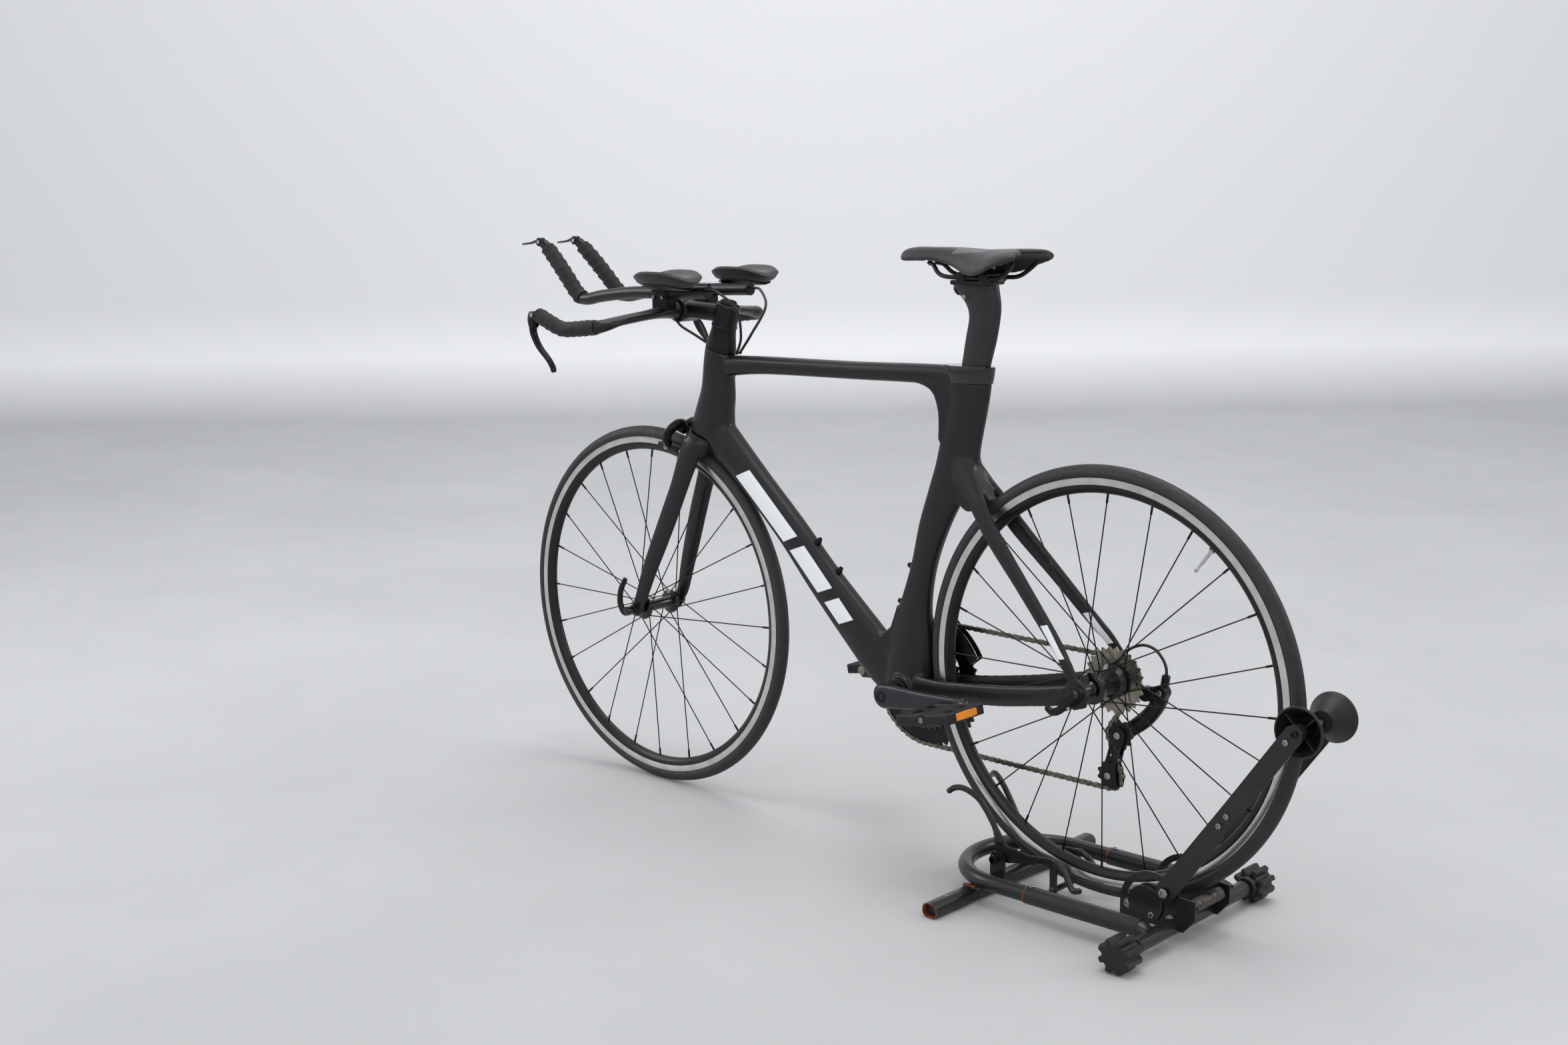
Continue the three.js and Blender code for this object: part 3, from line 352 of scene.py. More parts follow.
# ---- Shapes --------------------------------------------------------------------------------
def curve(rows, per=6):
    """Rows of numbers, resampled along a smooth curve through them."""
    a = np.array(rows, float)
    out = []
    for i in range(len(a) - 1):
        p = [a[min(max(i + k, 0), len(a) - 1)] for k in (-1, 0, 1, 2)]
        if i == 0:
            p[0] = 2 * a[0] - a[1]
        if i == len(a) - 2:
            p[3] = 2 * a[-1] - a[-2]
        for k in range(per):
            t = k / per
            out.append(0.5 * (2 * p[1] + (p[2] - p[0]) * t + (2 * p[0] - 5 * p[1] + 4 * p[2] - p[3]) * t ** 2
                              + (3 * p[1] - p[0] - 3 * p[2] + p[3]) * t ** 3))
    return np.array(out + [a[-1]])


def ring(c, u, w, a, b, n=28, power=2.0):
    t = (np.arange(n) + 0.5) / n * 2 * math.pi
    s, k = np.sin(t), np.cos(t)
    su = np.sign(k) * np.abs(k) ** (2 / power)
    sw = np.sign(s) * np.abs(s) ** (2 / power)
    return c + np.outer(a * su, u) + np.outer(b * sw, w)


def skin(rings, looped=False, caps=True):
    n = len(rings[0])
    faces = []
    m = len(rings)
    for i in range(m if looped else m - 1):
        a, b = i * n, (i + 1) % m * n
        faces += [(a + j, a + (j + 1) % n, b + (j + 1) % n, b + j) for j in range(n)]
    if caps and not looped:
        faces += [tuple(range(n))[::-1], tuple(range((m - 1) * n, m * n))]
    return np.vstack(rings), faces


def tube(rows, across=Y, n=28, power=2.0, per=6, wrap=None, rounded=0):
    """Tube through rows of x, y, z, half-width along across, half-depth. wrap = (pitch, height)
    raises a spiral of tape; rounded closes the ends with that many shrinking rings."""
    d = curve(rows, per) if per > 1 else np.array(rows, float)
    p, m = d[:, :3], len(d)
    length = np.concatenate([[0], np.cumsum(np.linalg.norm(np.diff(p, axis=0), axis=1))])
    rings, ends = [], []
    for i in range(m):
        before, after = p[max(i - 1, 0)], p[min(i + 1, m - 1)]
        t = (after - before) / max(np.linalg.norm(after - before), 1e-9)
        u = across - t * across.dot(t)
        u /= np.linalg.norm(u)
        r = ring(p[i], u, np.cross(t, u), d[i, 3], d[i, 4], n, power)
        if wrap:
            turn = (np.arange(n) + 0.5) / n
            rise = wrap[1] * ((length[i] / wrap[0] + turn) % 1.0) ** 1.5
            away = r - p[i]
            r = p[i] + away * (1 + rise / np.linalg.norm(away, axis=1))[:, None]
        rings.append(r)
        ends.append((t, min(d[i, 3], d[i, 4])))
    if rounded:
        head, tail = [], []
        for k in range(1, rounded + 1):
            a = k / rounded * math.pi / 2 * 0.94
            for store, i, s in ((head, 0, -1), (tail, -1, 1)):
                t, size = ends[i]
                store.append(p[i] + (rings[i] - p[i]) * math.cos(a) + t * s * size * math.sin(a) * 0.8)
        rings = head[::-1] + rings + tail
    return skin(rings)


def revolve(profile, origin, axis=Y, n=48, looped=True):
    """Turned body from [radius, height] points about axis; looped joins the last to the first."""
    axis = np.array(axis, float) / np.linalg.norm(axis)
    u = np.cross(axis, Z if abs(axis[2]) < 0.9 else X)
    u /= np.linalg.norm(u)
    w = np.cross(axis, u)
    t = np.arange(n) / n * 2 * math.pi
    around = np.outer(np.cos(t), u) + np.outer(np.sin(t), w)
    rings = [np.array(origin) + axis * h + around * max(r, 0.001) for r, h in profile]
    return skin(rings, looped, not looped)


def cyl(a, b, r, n=20, bevel=0.0):
    a, b = np.array(a, float), np.array(b, float)
    h = float(np.linalg.norm(b - a))
    e = min(bevel, r * 0.6, h * 0.4)
    prof = [(r - e, 0), (r, e), (r, h - e), (r - e, h)] if e else [(r, 0), (r, h)]
    return revolve(prof, a, b - a, n, False)


def circle(c, r, n=32, start=0.0, turn=360.0):
    t = np.radians(start + turn * np.arange(n if turn == 360 else n + 1) / n)
    return [(c[0] + r * math.cos(k), c[1] + r * math.sin(k)) for k in t]


def plate(outline, y0, y1, holes=()):
    """Flat plate in the XZ plane between y0 and y1, with holes."""
    loops = [list(outline)] + [list(h) for h in holes]
    tris = geometry.tessellate_polygon([[Vector((x, z, 0)) for x, z in l] for l in loops])
    flat = [q for l in loops for q in l]
    k = len(flat)
    verts = [(x, y0, z) for x, z in flat] + [(x, y1, z) for x, z in flat]
    faces = [tuple(t) for t in tris] + [tuple(i + k for i in t[::-1]) for t in tris]
    at = 0
    for l in loops:
        m = len(l)
        faces += [(at + i, at + (i + 1) % m, at + (i + 1) % m + k, at + i + k) for i in range(m)]
        at += m
    return np.array(verts), faces


def sprocket(c, teeth, y0, y1, bore, holes=(), tall=3.6):
    pitch = teeth * PITCH / 2 / math.pi
    out = []
    for i in range(teeth * 6):
        t = i / 6 / teeth * 2 * math.pi
        k = math.cos(t * teeth)
        r = pitch - 0.4 + tall * (k if k > 0 else k * 0.85) * (0.92 + 0.08 * k)
        out.append((c[0] + r * math.cos(t), c[1] + r * math.sin(t)))
    return plate(out, y0, y1, [circle(c, bore, 40), *holes])


def moved(shape, offset):
    return np.array(shape[0]) + np.array(offset), shape[1]


def turned_about(shape, origin, axis, degrees):
    m = np.array(Matrix.Rotation(math.radians(degrees), 3, Vector(axis)))
    return (np.array(shape[0]) - origin) @ m.T + origin, shape[1]


class Piece:
    """Shapes gathered into one mesh, each with its own material."""

    def __init__(self):
        self.v, self.f, self.m, self.mats = [], [], [], []

    def put(self, shape, mat):
        if mat not in self.mats:
            self.mats.append(mat)
        at = sum(len(v) for v in self.v)
        self.v.append(np.array(shape[0], float))
        self.f += [tuple(i + at for i in f) for f in shape[1]]
        self.m += [self.mats.index(mat)] * len(shape[1])
        return self

    def make(self, name, body, replaces=(), slot=None, weld=0.002):
        v = np.vstack(self.v)
        mesh = bpy.data.meshes.new(name)
        mesh.from_pydata([metres(p) for p in v], [], self.f)
        for mat in self.mats:
            mesh.materials.append(mat)
        mesh.polygons.foreach_set("material_index", self.m)
        b = bmesh.new()
        b.from_mesh(mesh)
        bmesh.ops.remove_doubles(b, verts=b.verts, dist=weld / 1000)
        bmesh.ops.recalc_face_normals(b, faces=b.faces)
        b.to_mesh(mesh)
        b.free()
        mesh.shade_smooth()
        mesh.set_sharp_from_angle(angle=SHARP)
        ob = bpy.data.objects.new(name, mesh)
        bpy.context.scene.collection.objects.link(ob)
        return settle(ob, body, replaces)


def settle(ob, body, replaces=()):
    if body:
        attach(ob, body)
    if replaces:
        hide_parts(*replaces)
    return ob


def bake(ob):
    """Applies the modifiers."""
    dg = bpy.context.evaluated_depsgraph_get()
    mesh = bpy.data.meshes.new_from_object(ob.evaluated_get(dg))
    ob.modifiers.clear()
    ob.data = mesh


def fuse(ob, voxel, rounds):
    """Melts overlapping shapes into one smooth skin."""
    m = ob.modifiers.new("melt", "REMESH")
    m.mode, m.voxel_size, m.use_smooth_shade = "VOXEL", voxel, True
    s = ob.modifiers.new("ease", "SMOOTH")
    s.factor, s.iterations = 0.5, rounds
    bake(ob)
    ob.data.shade_smooth()
    return ob


def bolt(p, axis, r, h, mat, piece, n=20):
    """Socket-headed bolt standing on p."""
    piece.put(revolve([(r * 0.96, 0), (r, h * 0.15), (r, h * 0.75), (r * 0.86, h), (r * 0.5, h),
                       (r * 0.46, h * 0.45),
                       (0.0, h * 0.4)], p, axis, n, False), mat)


def steer(s, back=0.0, y=0.0):
    """The point s up the steering axis from its foot, then back from it and to one side."""
    return np.array([-855.6, y, 700.0]) + UP * s + BACK * back


# ---- Frame ---------------------------------------------------------------------------------
def box(x0, x1, y0, y1, z0, z1):
    return plate([(x0, z0), (x1, z0), (x1, z1), (x0, z1)], y0, y1)


def around_steer(rows, n=28, power=2.3, per=5):
    return skin([ring(steer(s, back), BACK, Y, a, b, n, power) for s, back, a, b in curve(rows, per)])


def upright(rows, n=32, power=2.3, per=6):
    """Tube of level sections from z, x, half-length, half-width."""
    return skin([ring(np.array([x, 0, z]), X, Y, a, b, n, power) for z, x, a, b in curve(rows, per)])


def make_frame():
    p = Piece()
    p.put(around_steer([[-30, 20, 49, 25], [0, 19, 45, 25], [28, 16.5, 39, 24.5], [56, 15, 35, 24],
                        [100, 5, 31, 23], [129, 1, 30, 22]]), M_FRAME)
    p.put(tube([[-838, 0, 796, 17, 17], [-800, 0, 796, 17, 18], [-700, 0, 802, 16.5, 15.5],
                [-500, 0, 806, 16, 15],
                [-360, 0, 810, 16, 16], [-290, 0, 809, 16, 18], [-262, 0, 808, 16, 18]], power=2.6), M_FRAME)
    p.put(upright([[803, -265, 44, 16], [769, -265, 38, 16], [702, -281, 39.5, 15.5],
                   [664, -289, 41.5, 15.5],
                   [630, -304, 38, 15.5], [566, -333, 30, 16], [497, -355, 24, 16.5], [430, -372, 30, 18],
                   [370, -380, 42, 23], [310, -386, 50, 28], [284, -388, 44, 28]]), M_FRAME)
    p.put(tube([[-826, 0, 675, 23, 33], [-738, 0, 597, 21, 29.5], [-652, 0, 519, 20, 30.5],
                [-580, 0, 446, 20, 34],
                [-507, 0, 378, 20.5, 38], [-440, 0, 318, 22, 40], [-400, 0, 288, 24, 34]], power=2.5),
          M_FRAME)
    p.put(cyl((BB[0], -34, BB[1]), (BB[0], 34, BB[1]), 27, 40), M_FRAME)
    web = [([(-372, 796), (-352, 792.5), (-337, 786.5), (-328, 777), (-322, 762), (-318.5, 742),
             (-318.5, 722), (-320, 706), (-285, 700), (-285, 800), (-372, 800)], 12),
           ([(-762, 788), (-786, 783), (-800, 772), (-808, 752), (-830, 752), (-830, 792), (-762, 792)], 13),
           ([(-800, 668), (-806, 690), (-806, 712), (-830, 712), (-830, 660), (-772, 628), (-760, 634)], 14),
           ([(-486, 376), (-458, 366), (-436, 370), (-418, 386), (-404, 424), (-380, 424), (-385, 300),
             (-486, 320)], 15),
           ([(-252, 700), (-246, 672), (-234, 646), (-216, 622), (-214, 606), (-262, 596), (-300, 620),
             (-290, 700)], 11.5)]
    for outline, half in web:
        p.put(plate(outline, -half, half), M_FRAME)
    for s in (-1, 1):
        p.put(tube([[-380, 14 * s, 290, 10, 22], [-352, 21 * s, 294, 7, 21], [-300, 26 * s, 299, 7, 18],
                    [-240, 31 * s, 307, 6.8, 17.5], [-166, 44 * s, 319, 6.5, 17], [-100, 57 * s, 333, 6, 16],
                    [-50, 65 * s, 344, 4.5, 16], [-14, 68.7 * s, 354, 3.4, 15]], power=2.5), M_FRAME)
        drop = [(-22, 370), (-34, 352), (-26, 334), (-8, 330), (14, 338), (17, 356), (8, 374), (-8, 382)]
        p.put(plate(drop, 65.6 * s, 72 * s), M_FRAME)
        p.put(tube([[-304, 3 * s, 700, 5, 13], [-288, 6 * s, 684, 8, 20], [-265, 12 * s, 658, 8.5, 22],
                    [-244, 19 * s, 634, 8, 19],
                    [-222, 27.5 * s, 610, 7, 16.5], [-188, 36 * s, 569, 6.8, 15.5],
                    [-126, 47 * s, 505, 6.5, 13],
                    [-62, 58 * s, 438, 6, 11.5], [-37, 64 * s, 412, 5, 10.5], [-12, 68.7 * s, 378, 3.6, 10]],
                   power=2.4), M_FRAME)
    skinned = fuse(p.make("frame_shell", None), 0.0026, 7)
    settle(skinned, BASE, [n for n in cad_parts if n.startswith("frame_")])

    d = Piece()
    rows = curve([[801.5, -265, 45.2, 17.2], [812, -265, 47.5, 18.4], [820, -264.6, 48.2, 18.8],
                  [827.6, -263.5, 48, 18.4]], 4)
    outer = [ring(np.array([x, 0, z]), X, Y, a, b, 48, 2.3) for z, x, a, b in rows]
    lid = [ring(np.array([x - 0.5, 0, 828.3]), X, Y, a * k, b * k, 48, 2.3) for k, (z, x, a, b) in
           ((0.985, rows[-1]), (0.8, rows[-1]))]
    d.put(skin(outer + lid), M_COLLAR)
    for (x, z), (ax, az) in (((-593.6, 502.5), (0.69, 0.72)), ((-546.3, 457.7), (0.69, 0.72)),
                             ((-376, 491), (-1, 0.15)), ((-397, 428), (-1, 0.15))):
        at, axis = np.array([x, 0, z]), np.array([ax, 0, az])
        d.put(cyl(at, at + axis * 8, 6, 20, 0.8), M_BLACK)
        bolt(at + axis * 8, axis, 4.2, 5, M_BLACK, d)
    for s in (-1, 1):
        d.put(revolve([(19, 33 * s), (22, 33.5 * s), (22.5, 38 * s), (20, 39.6 * s), (13.5, 39.6 * s)],
                      BB_AXLE,
                      Y, 40, False), M_BLACK)
    d.put(revolve([(8, 71), (10.5, 71.2), (10.5, 78), (8, 79.5), (3, 79.5)], REAR_AXLE, Y, 28, False),
          M_BLACK)
    d.put(revolve([(8, -71), (11, -71.2), (11, -78), (8.5, -80.6), (3, -80.6)], REAR_AXLE, Y, 28, False),
          M_BLACK)
    bolt((-272, 0, 795), (1, 0, 0), 3, 3, M_BLACK, d)
    for y in (-5, 5):
        d.put(cyl((-776, y, 818), (-776, y, 819.6), 4.2, 20, 0.5), M_BLACK)
    d.make("frame_fittings", BASE, slot="frame")


make_frame()


# ---- Seatpost and saddle -------------------------------------------------------------------
M_POST = surface("post_paint", (0.018, 0.018, 0.0195), (0.026, 0.026, 0.028), 0.42, 0.1, 7, 2300, 0.08,
                 0.00005, 0.1).mat


def make_seat():
    def post_x(z):
        return -250.5 + 0.235 / 0.972 * (z - 829)

    rows = [[750, post_x(750), 27, 11], [790, post_x(790), 27, 11], [829, -250.5, 27, 11],
            [869, -241, 29, 11.5],
            [905, -234, 29, 12], [926, -237, 33, 13], [944, -247, 40, 15], [957, -253, 43, 17],
            [961, -253, 41.5, 16.5]]
    p = Piece().put(upright(rows, 40, 2.25, 6), M_POST)
    p.make("post_shell", "seatpost", ["seatpost"], "frame")

    c = Piece()
    c.put(box(-284, -214, -25, 25, 955, 962.4), M_BLACK)
    for x in (-262, -218):
        c.put(tube([[x, -27, 968, 8, 8], [x, 27, 968, 8, 8]], X, 20, 3.0, 1), M_BLACK)
    c.put(box(-262, -216, -13, 13, 964, 979), M_BLACK)
    c.put(tube([[-288, 0, 944, 9, 9], [-276, 0, 952, 10, 10], [-262, 0, 962, 10, 9]], Y, 20, 2.6, 4),
          M_BLACK)
    fused = fuse(c.make("clamp_block", None), 0.0014, 4)
    settle(fused, "seatpost", ())
    r = Piece()
    for s in (-1, 1):
        r.put(tube([[-338, 9 * s, 987, 3.5, 3.5], [-326, 13 * s, 984, 3.5, 3.5],
                    [-314, 17 * s, 973, 3.5, 3.5],
                    [-300, 20 * s, 968, 3.5, 3.5], [-276, 22 * s, 966.6, 3.5, 3.5],
                    [-208, 22 * s, 966.6, 3.5, 3.5],
                    [-186, 24 * s, 969, 3.5, 3.5], [-170, 27 * s, 979, 3.5, 3.5],
                    [-158, 31 * s, 990, 3.5, 3.5]],
                   Y, 16, 2, 6, rounded=3), M_BLACK)
        for x in (-246, -228):
            bolt((x, 12 * s, 979), (0, 0, 1), 4, 4, M_ZINC, r)
    bolt((-262, -17, 936), (0, -1, 0), 3.4, 1.2, M_ZINC, r)
    r.make("rail_wires", "seatpost", ["saddle_rails"], "steel")

    rows = curve([[-397, 1001, 8, 7], [-392, 1006, 14, 15], [-378, 1010, 18.5, 19.5], [-345, 1013, 20.5, 21],
                  [-308, 1013.5, 23.5, 23], [-278, 1013, 30, 29], [-254, 1011.5, 39, 35],
                  [-232, 1010.5, 48, 39],
                  [-208, 1011, 57, 37], [-184, 1012.5, 63, 29], [-164, 1014, 63.5, 24], [-149, 1014, 60, 19],
                  [-142, 1011, 54, 12]], 8)
    n, verts, faces = 49, [], []
    m = len(rows)
    for x, top, half, drop in rows:
        tail = max(0.0, (x + 200) / 58.0)
        for side, inset in ((1, 0.0), (-1, 5.5)):
            order = range(n) if side == 1 else range(n)[::-1]
            for j in order:
                t = (j / (n - 1) - 0.5) * math.pi
                w, d = max(half - inset, 2.0), max(drop - inset * 0.25, 3.0)
                y = w * math.sin(t)
                fall = (1 - math.cos(t) ** 0.9) if abs(t) < math.pi / 2 - 1e-6 else 1.0
                channel = (2.6 * math.exp(-(y / 6.0) ** 2) * min(1.0, max(0.0, (x + 360) / 25))
                           * min(1.0, max(0.0, (-185 - x) / 25)))
                z = top - inset - d * fall * (1.0 if side == 1 else 0.92) - (channel if side == 1 else 0)
                notch = 30 * tail ** 1.5 * max(0.0, 1 - abs(y) / (half * 0.62)) ** 1.3
                verts.append((x - notch, y, z - 5 * tail * max(0.0, 1 - abs(y) / (half * 0.7))))
    ringlen = 2 * n
    for i in range(m - 1):
        for j in range(ringlen):
            a, b = i * ringlen + j, i * ringlen + (j + 1) % ringlen
            faces.append((a, b, b + ringlen, a + ringlen))
    for i in (0, m - 1):
        for j in range(n - 1):
            faces.append((i * ringlen + j, i * ringlen + j + 1, i * ringlen + ringlen - 2 - j, i * ringlen
                          + ringlen - 1 - j))
    s = Piece().put((np.array(verts), faces), M_COVER)
    saddle = fuse(s.make("saddle_pad", None), 0.0022, 5)
    settle(saddle, "seatpost", ["saddle"])


make_seat()


# ---- Fork and front brake ------------------------------------------------------------------
def make_fork():
    p = Piece()
    p.put(around_steer([[-31, 3, 31, 27], [-40, 3, 33, 34], [-54, 2, 31, 38], [-66, 0, 27, 38]], 32, 2.3, 4),
          M_FORK)
    for s in (-1, 1):
        p.put(tube([[-868, 25 * s, 655, 11, 25], [-885, 30 * s, 610, 9.5, 22], [-901, 32.5 * s, 570, 9, 20],
                    [-923, 37 * s, 518, 8.5, 20], [-945, 43 * s, 465, 8, 19], [-967, 49 * s, 412, 7.5, 17],
                    [-984, 53 * s, 365, 6, 14.5], [-996, 54 * s, 343, 3.8, 12.5],
                    [-999, 54 * s, 334, 3.6, 11]],
                   power=2.2), M_FORK)
        p.put(cyl((FRONT[0], 50.4 * s, FRONT[1]), (FRONT[0], 57 * s, FRONT[1]), 14, 28), M_FORK)
    ob = p.make("fork_shell", None)
    fuse(ob, 0.0022, 6)
    settle(ob, "front_end", ["fork"])

    d = Piece()
    for s in (-1, 1):
        d.put(revolve([(4, 56 * s), (9.4, 56 * s), (9.8, 60 * s), (8.5, 65 * s), (3, 65 * s)],
                      FRONT_AXLE, Y, 28, False), M_BLACK)
    d.put(cyl(steer(-40, -22), steer(-40, -41), 8, 24, 1), M_BLACK)
    bolt(steer(-40, -55), -BACK, 6.4, 5, M_SILVER, d)
    d.make("fork_fittings", "front_end", slot="black_alloy")
    for side, s in (("left", -1), ("right", 1)):
        b = Piece()
        rows = [[*steer(-31, -48, 5 * s), 7, 8.5], [*steer(-29, -49, 19 * s), 7.4, 9],
                [*steer(-42, -55, 31 * s), 7, 9.5],
                [*steer(-60, -60, 31.5 * s), 6.4, 9], [*steer(-73, -61, 23.6 * s), 5.2, 7.5]]
        b.put(tube(rows, BACK, 24, 2.5, 6, rounded=3), M_BLACK)
        b.put(cyl(steer(-39, -40, 9 * s), steer(-39, -57, 9 * s), 8.2, 24), M_BLACK)
        b.put(cyl(steer(-24, -50, 19 * s), steer(-37, -50, 27 * s), 6.5, 24, 1), M_BLACK)
        fuse_ob = fuse(b.make(f"brake_arm_skin_{side}", None), 0.0012, 4)
        settle(fuse_ob, f"front_brake_arm_{side}", [f"front_brake_arm_{side}"])
        q = Piece()
        pad = tube([[-964, 16.8 * s, 644.7, 4.2, 4.6], [-958, 16.8 * s, 643.9, 4.2, 4.8],
                    [-942, 16.8 * s, 641.3, 4.2, 4.8],
                    [-926, 16.8 * s, 637.7, 4.2, 4.8], [-920, 16.8 * s, 636.2, 4.2, 4.6]], Y, 20, 3.2, 4,
                   rounded=2)
        q.put(pad, M_PLASTIC)
        bolt((-942, 21 * s, 641.3), (0, s, 0), 4.6, 4, M_SILVER, q)
        bolt(steer(-42, -60, 31 * s), -BACK, 3.2, 2.4, M_SILVER, q)
        q.make(f"brake_shoe_{side}", f"front_brake_arm_{side}", slot="black_alloy")


make_fork()


# ---- Stem, bars, levers --------------------------------------------------------------------
def make_cockpit():
    h = Piece()
    h.put(around_steer([[129.6, 1, 30.3, 22.6], [134, 1, 30.6, 22.8], [146, 1, 27, 21.8],
                        [160, 0.4, 23.4, 21],
                        [171, 0, 21.8, 20.6]], 40, 2.1, 5), M_BLACK)
    h.make("headset_skin", "front_end", ["headset_cover"], "black_alloy")
    s = Piece()
    s.put(around_steer([[172, 0, 22, 20.5], [188, 0, 22.6, 20.8], [205, 0, 22.4, 20.6], [212, 0, 21, 19.6]],
                       32, 2.2, 4), M_BLACK)
    s.put(tube([[-796, 0, 887, 17, 16], [-815, 0, 888, 17.2, 16], [-850, 0, 889, 17, 15.5],
                [-880, 0, 890, 18.6, 15.5],
                [-903, 0, 890, 21, 17]], Y, 32, 3, 4), M_BLACK)
    s.put(cyl((-906, -23, 890), (-906, 23, 890), 21.5, 40), M_BLACK)
    ob = fuse(s.make("stem_skin", None), 0.0018, 4)
    settle(ob, "front_end", ["stem"])
    d = Piece()
    d.put(revolve([(0, 219), (4, 219), (4.4, 217), (14.5, 217), (15.2, 214), (15, 210)], steer(0), UP, 36,
                  False), M_BLACK)
    d.put(revolve([(22.0, 170.2), (23.2, 171), (23.2, 173.4), (22.0, 174.2)], steer(0), UP, 40), M_BLACK)
    for y in (-15, 15):
        for z in (-14, 14):
            bolt((-924, y, 890 + z), (-1, 0, 0), 3.4, 3, M_SILVER, d)
        bolt((-806, y * 0.8, 883), (1, 0, 0), 3.2, 2.4, M_SILVER, d)
    d.make("stem_fittings", "front_end", slot="silver_alloy")

    half = [[-906, 0, 890, 15.5, 15.5], [-906, 27, 890, 15.5, 15.5], [-907, 50, 889, 12, 19],
            [-908, 84, 886, 8.5, 22],
            [-911, 125, 882, 8, 22], [-914, 160, 878, 8.5, 19], [-913, 184, 874, 10.5, 14.5],
            [-921, 197, 871, 11.5, 11.5],
            [-940, 200, 869, 11.5, 11.5], [-970, 200, 866, 11.5, 11.5], [-1008, 200, 864, 11.5, 11.5],
            [-1040, 200, 873, 11.5, 11.5], [-1060, 200, 881, 11, 11]]
    rows = [[x, -y, z, a, b] for x, y, z, a, b in half[:0:-1]] + half
    b = Piece().put(tube(rows, Z, 32, 2, 6), M_FORK)
    for s in (-1, 1):
        b.put(tube([[-926, 199 * s, 870.4, 12.2, 12.2], [-945, 200 * s, 868.6, 12.8, 12.8],
                    [-970, 200 * s, 866, 12.6, 12.6],
                    [-1008, 200 * s, 864, 12.6, 12.6], [-1040, 200 * s, 873, 12.8, 12.8],
                    [-1068, 200 * s, 884, 12.6, 12.6]],
                   Z, 40, 2, 26, wrap=(16, 1.5)), M_TAPE)
        b.put(tube([[-929, 199 * s, 870, 13.6, 13.6], [-925, 198.6 * s, 870.4, 13.3, 13.3],
                    [-921, 198 * s, 871, 12.6, 12.6]], Z, 40, 2, 4), M_HOUSING)
        b.put(cyl((-1068, 200 * s, 884), (-1075, 200 * s, 887), 12.6, 32, 1.5), M_BLACK)
        b.put(cyl((-1084, 200 * s - 3, 886), (-1084, 200 * s + 3, 886), 6.3, 24), M_BLACK)
        b.put(box(-1084, -1068, 200 * s - 3, 200 * s + 3, 881, 891), M_BLACK)
    b.make("bar_skin", "front_end", ["base_bar"], "grip_tape")

    for side, s in (("left", -1), ("right", 1)):
        y, e = 200 * s, 52 * s
        v = Piece()
        v.put(tube([[-1086, y, 888, 8.6, 5.5], [-1089, y, 872, 8.4, 5.5], [-1089, y, 853, 7.4, 4.4],
                    [-1075, y, 830, 6.8, 3.9],
                    [-1051, y, 809, 6.4, 3.5], [-1040, y, 796, 6.2, 3.2], [-1037, y, 788, 5.6, 3]], Y, 24,
                   2.5, 7, rounded=3), M_BLACK)
        v.make(f"lever_blade_{side}", f"brake_lever_{side}", [f"brake_lever_{side}"], "black_alloy")
        c = Piece()
        for k in (-1, 1):
            c.put(tube([[-1092, y + k * 5.6, 889, 1.6, 5], [-1086, y + k * 6.6, 882, 2, 8],
                        [-1087, y + k * 6.6, 872, 2, 7.4],
                        [-1088, y + k * 5.8, 864, 1.5, 5]], Y, 20, 2.4, 5, rounded=2), M_BLACK)
            c.put(cyl((-1084, y + k * 8.4, 886), (-1084, y + k * 9.4, 886), 4, 20, 0.4), M_SILVER)
        c.put(tube([[-1098, y, 884, 5.5, 1.2], [-1097.5, y, 876, 6.5, 1.5], [-1097, y, 866, 5.2, 1.2]], Y,
                   24, 2, 5, rounded=3), M_SILVER)
        c.make(f"lever_bracket_{side}", "front_end", slot="silver_alloy")

        x = Piece()
        path = [[-795, e, 927], [-902, e, 923], [-988, e, 920], [-1070, e, 911], [-1112, 51 * s, 904],
                [-1137, 50 * s, 909],
                [-1168, 48 * s, 938], [-1200, 45.5 * s, 968], [-1230, 43 * s, 994]]
        x.put(tube([[*q, 11, 11] for q in path], Y, 32, 2, 8), M_FORK)
        grip = [[-1126, 50.4 * s, 905.4, 12.0, 12.0], [-1137, 50 * s, 909.5, 12.6, 12.6],
                [-1152, 49 * s, 922, 12.8, 12.8],
                [-1168, 48 * s, 938, 12.8, 12.8], [-1200, 45.5 * s, 968, 12.8, 12.8],
                [-1230, 43 * s, 994, 12.2, 12.2]]
        x.put(tube(grip, Y, 40, 2, 26, wrap=(18, 2.5)), M_TAPE)
        x.put(revolve([(3, -4), (9, -3.4), (11.2, -1.4), (11.3, 1.5), (11, 2)], (-795, e, 927), (1, 0, 0.04),
                      32, False), M_BLACK)
        x.put(cyl((-1228, 43 * s, 992.5), (-1242, 43 * s, 1002), 9.4, 28, 1.2), M_BLACK)
        x.make(f"extension_skin_{side}", "front_end", [f"extension_{side}"], "grip_tape")
        k = Piece()
        ys = sorted((38 * s, 66 * s))
        k.put(box(-924, -888, ys[0] + 1, ys[1] - 1, 892, 934), M_BLACK)
        k.put(box(-920, -892, ys[0] + 3, ys[1] - 3, 884, 895), M_BLACK)
        ys = sorted((46 * s, 94 * s))
        k.put(box(-894, -860, *ys, 925, 933), M_BLACK)
        clamp = fuse(k.make(f"bar_clamp_{side}", None), 0.0015, 5)
        settle(clamp, "front_end", ())
        f = Piece()
        for xx in (-917, -895):
            bolt((xx, 66.5 * s, 915), (0, s, 0), 3.3, 2.4, M_ZINC, f)
            bolt((xx, 52 * s, 884.5), (0, 0, -1), 3.3, 2.4, M_ZINC, f)
        pillow(f, M_PLASTIC, (-851, 95 * s, 933.2), 54, 31, 2.4, 8, 2.6)
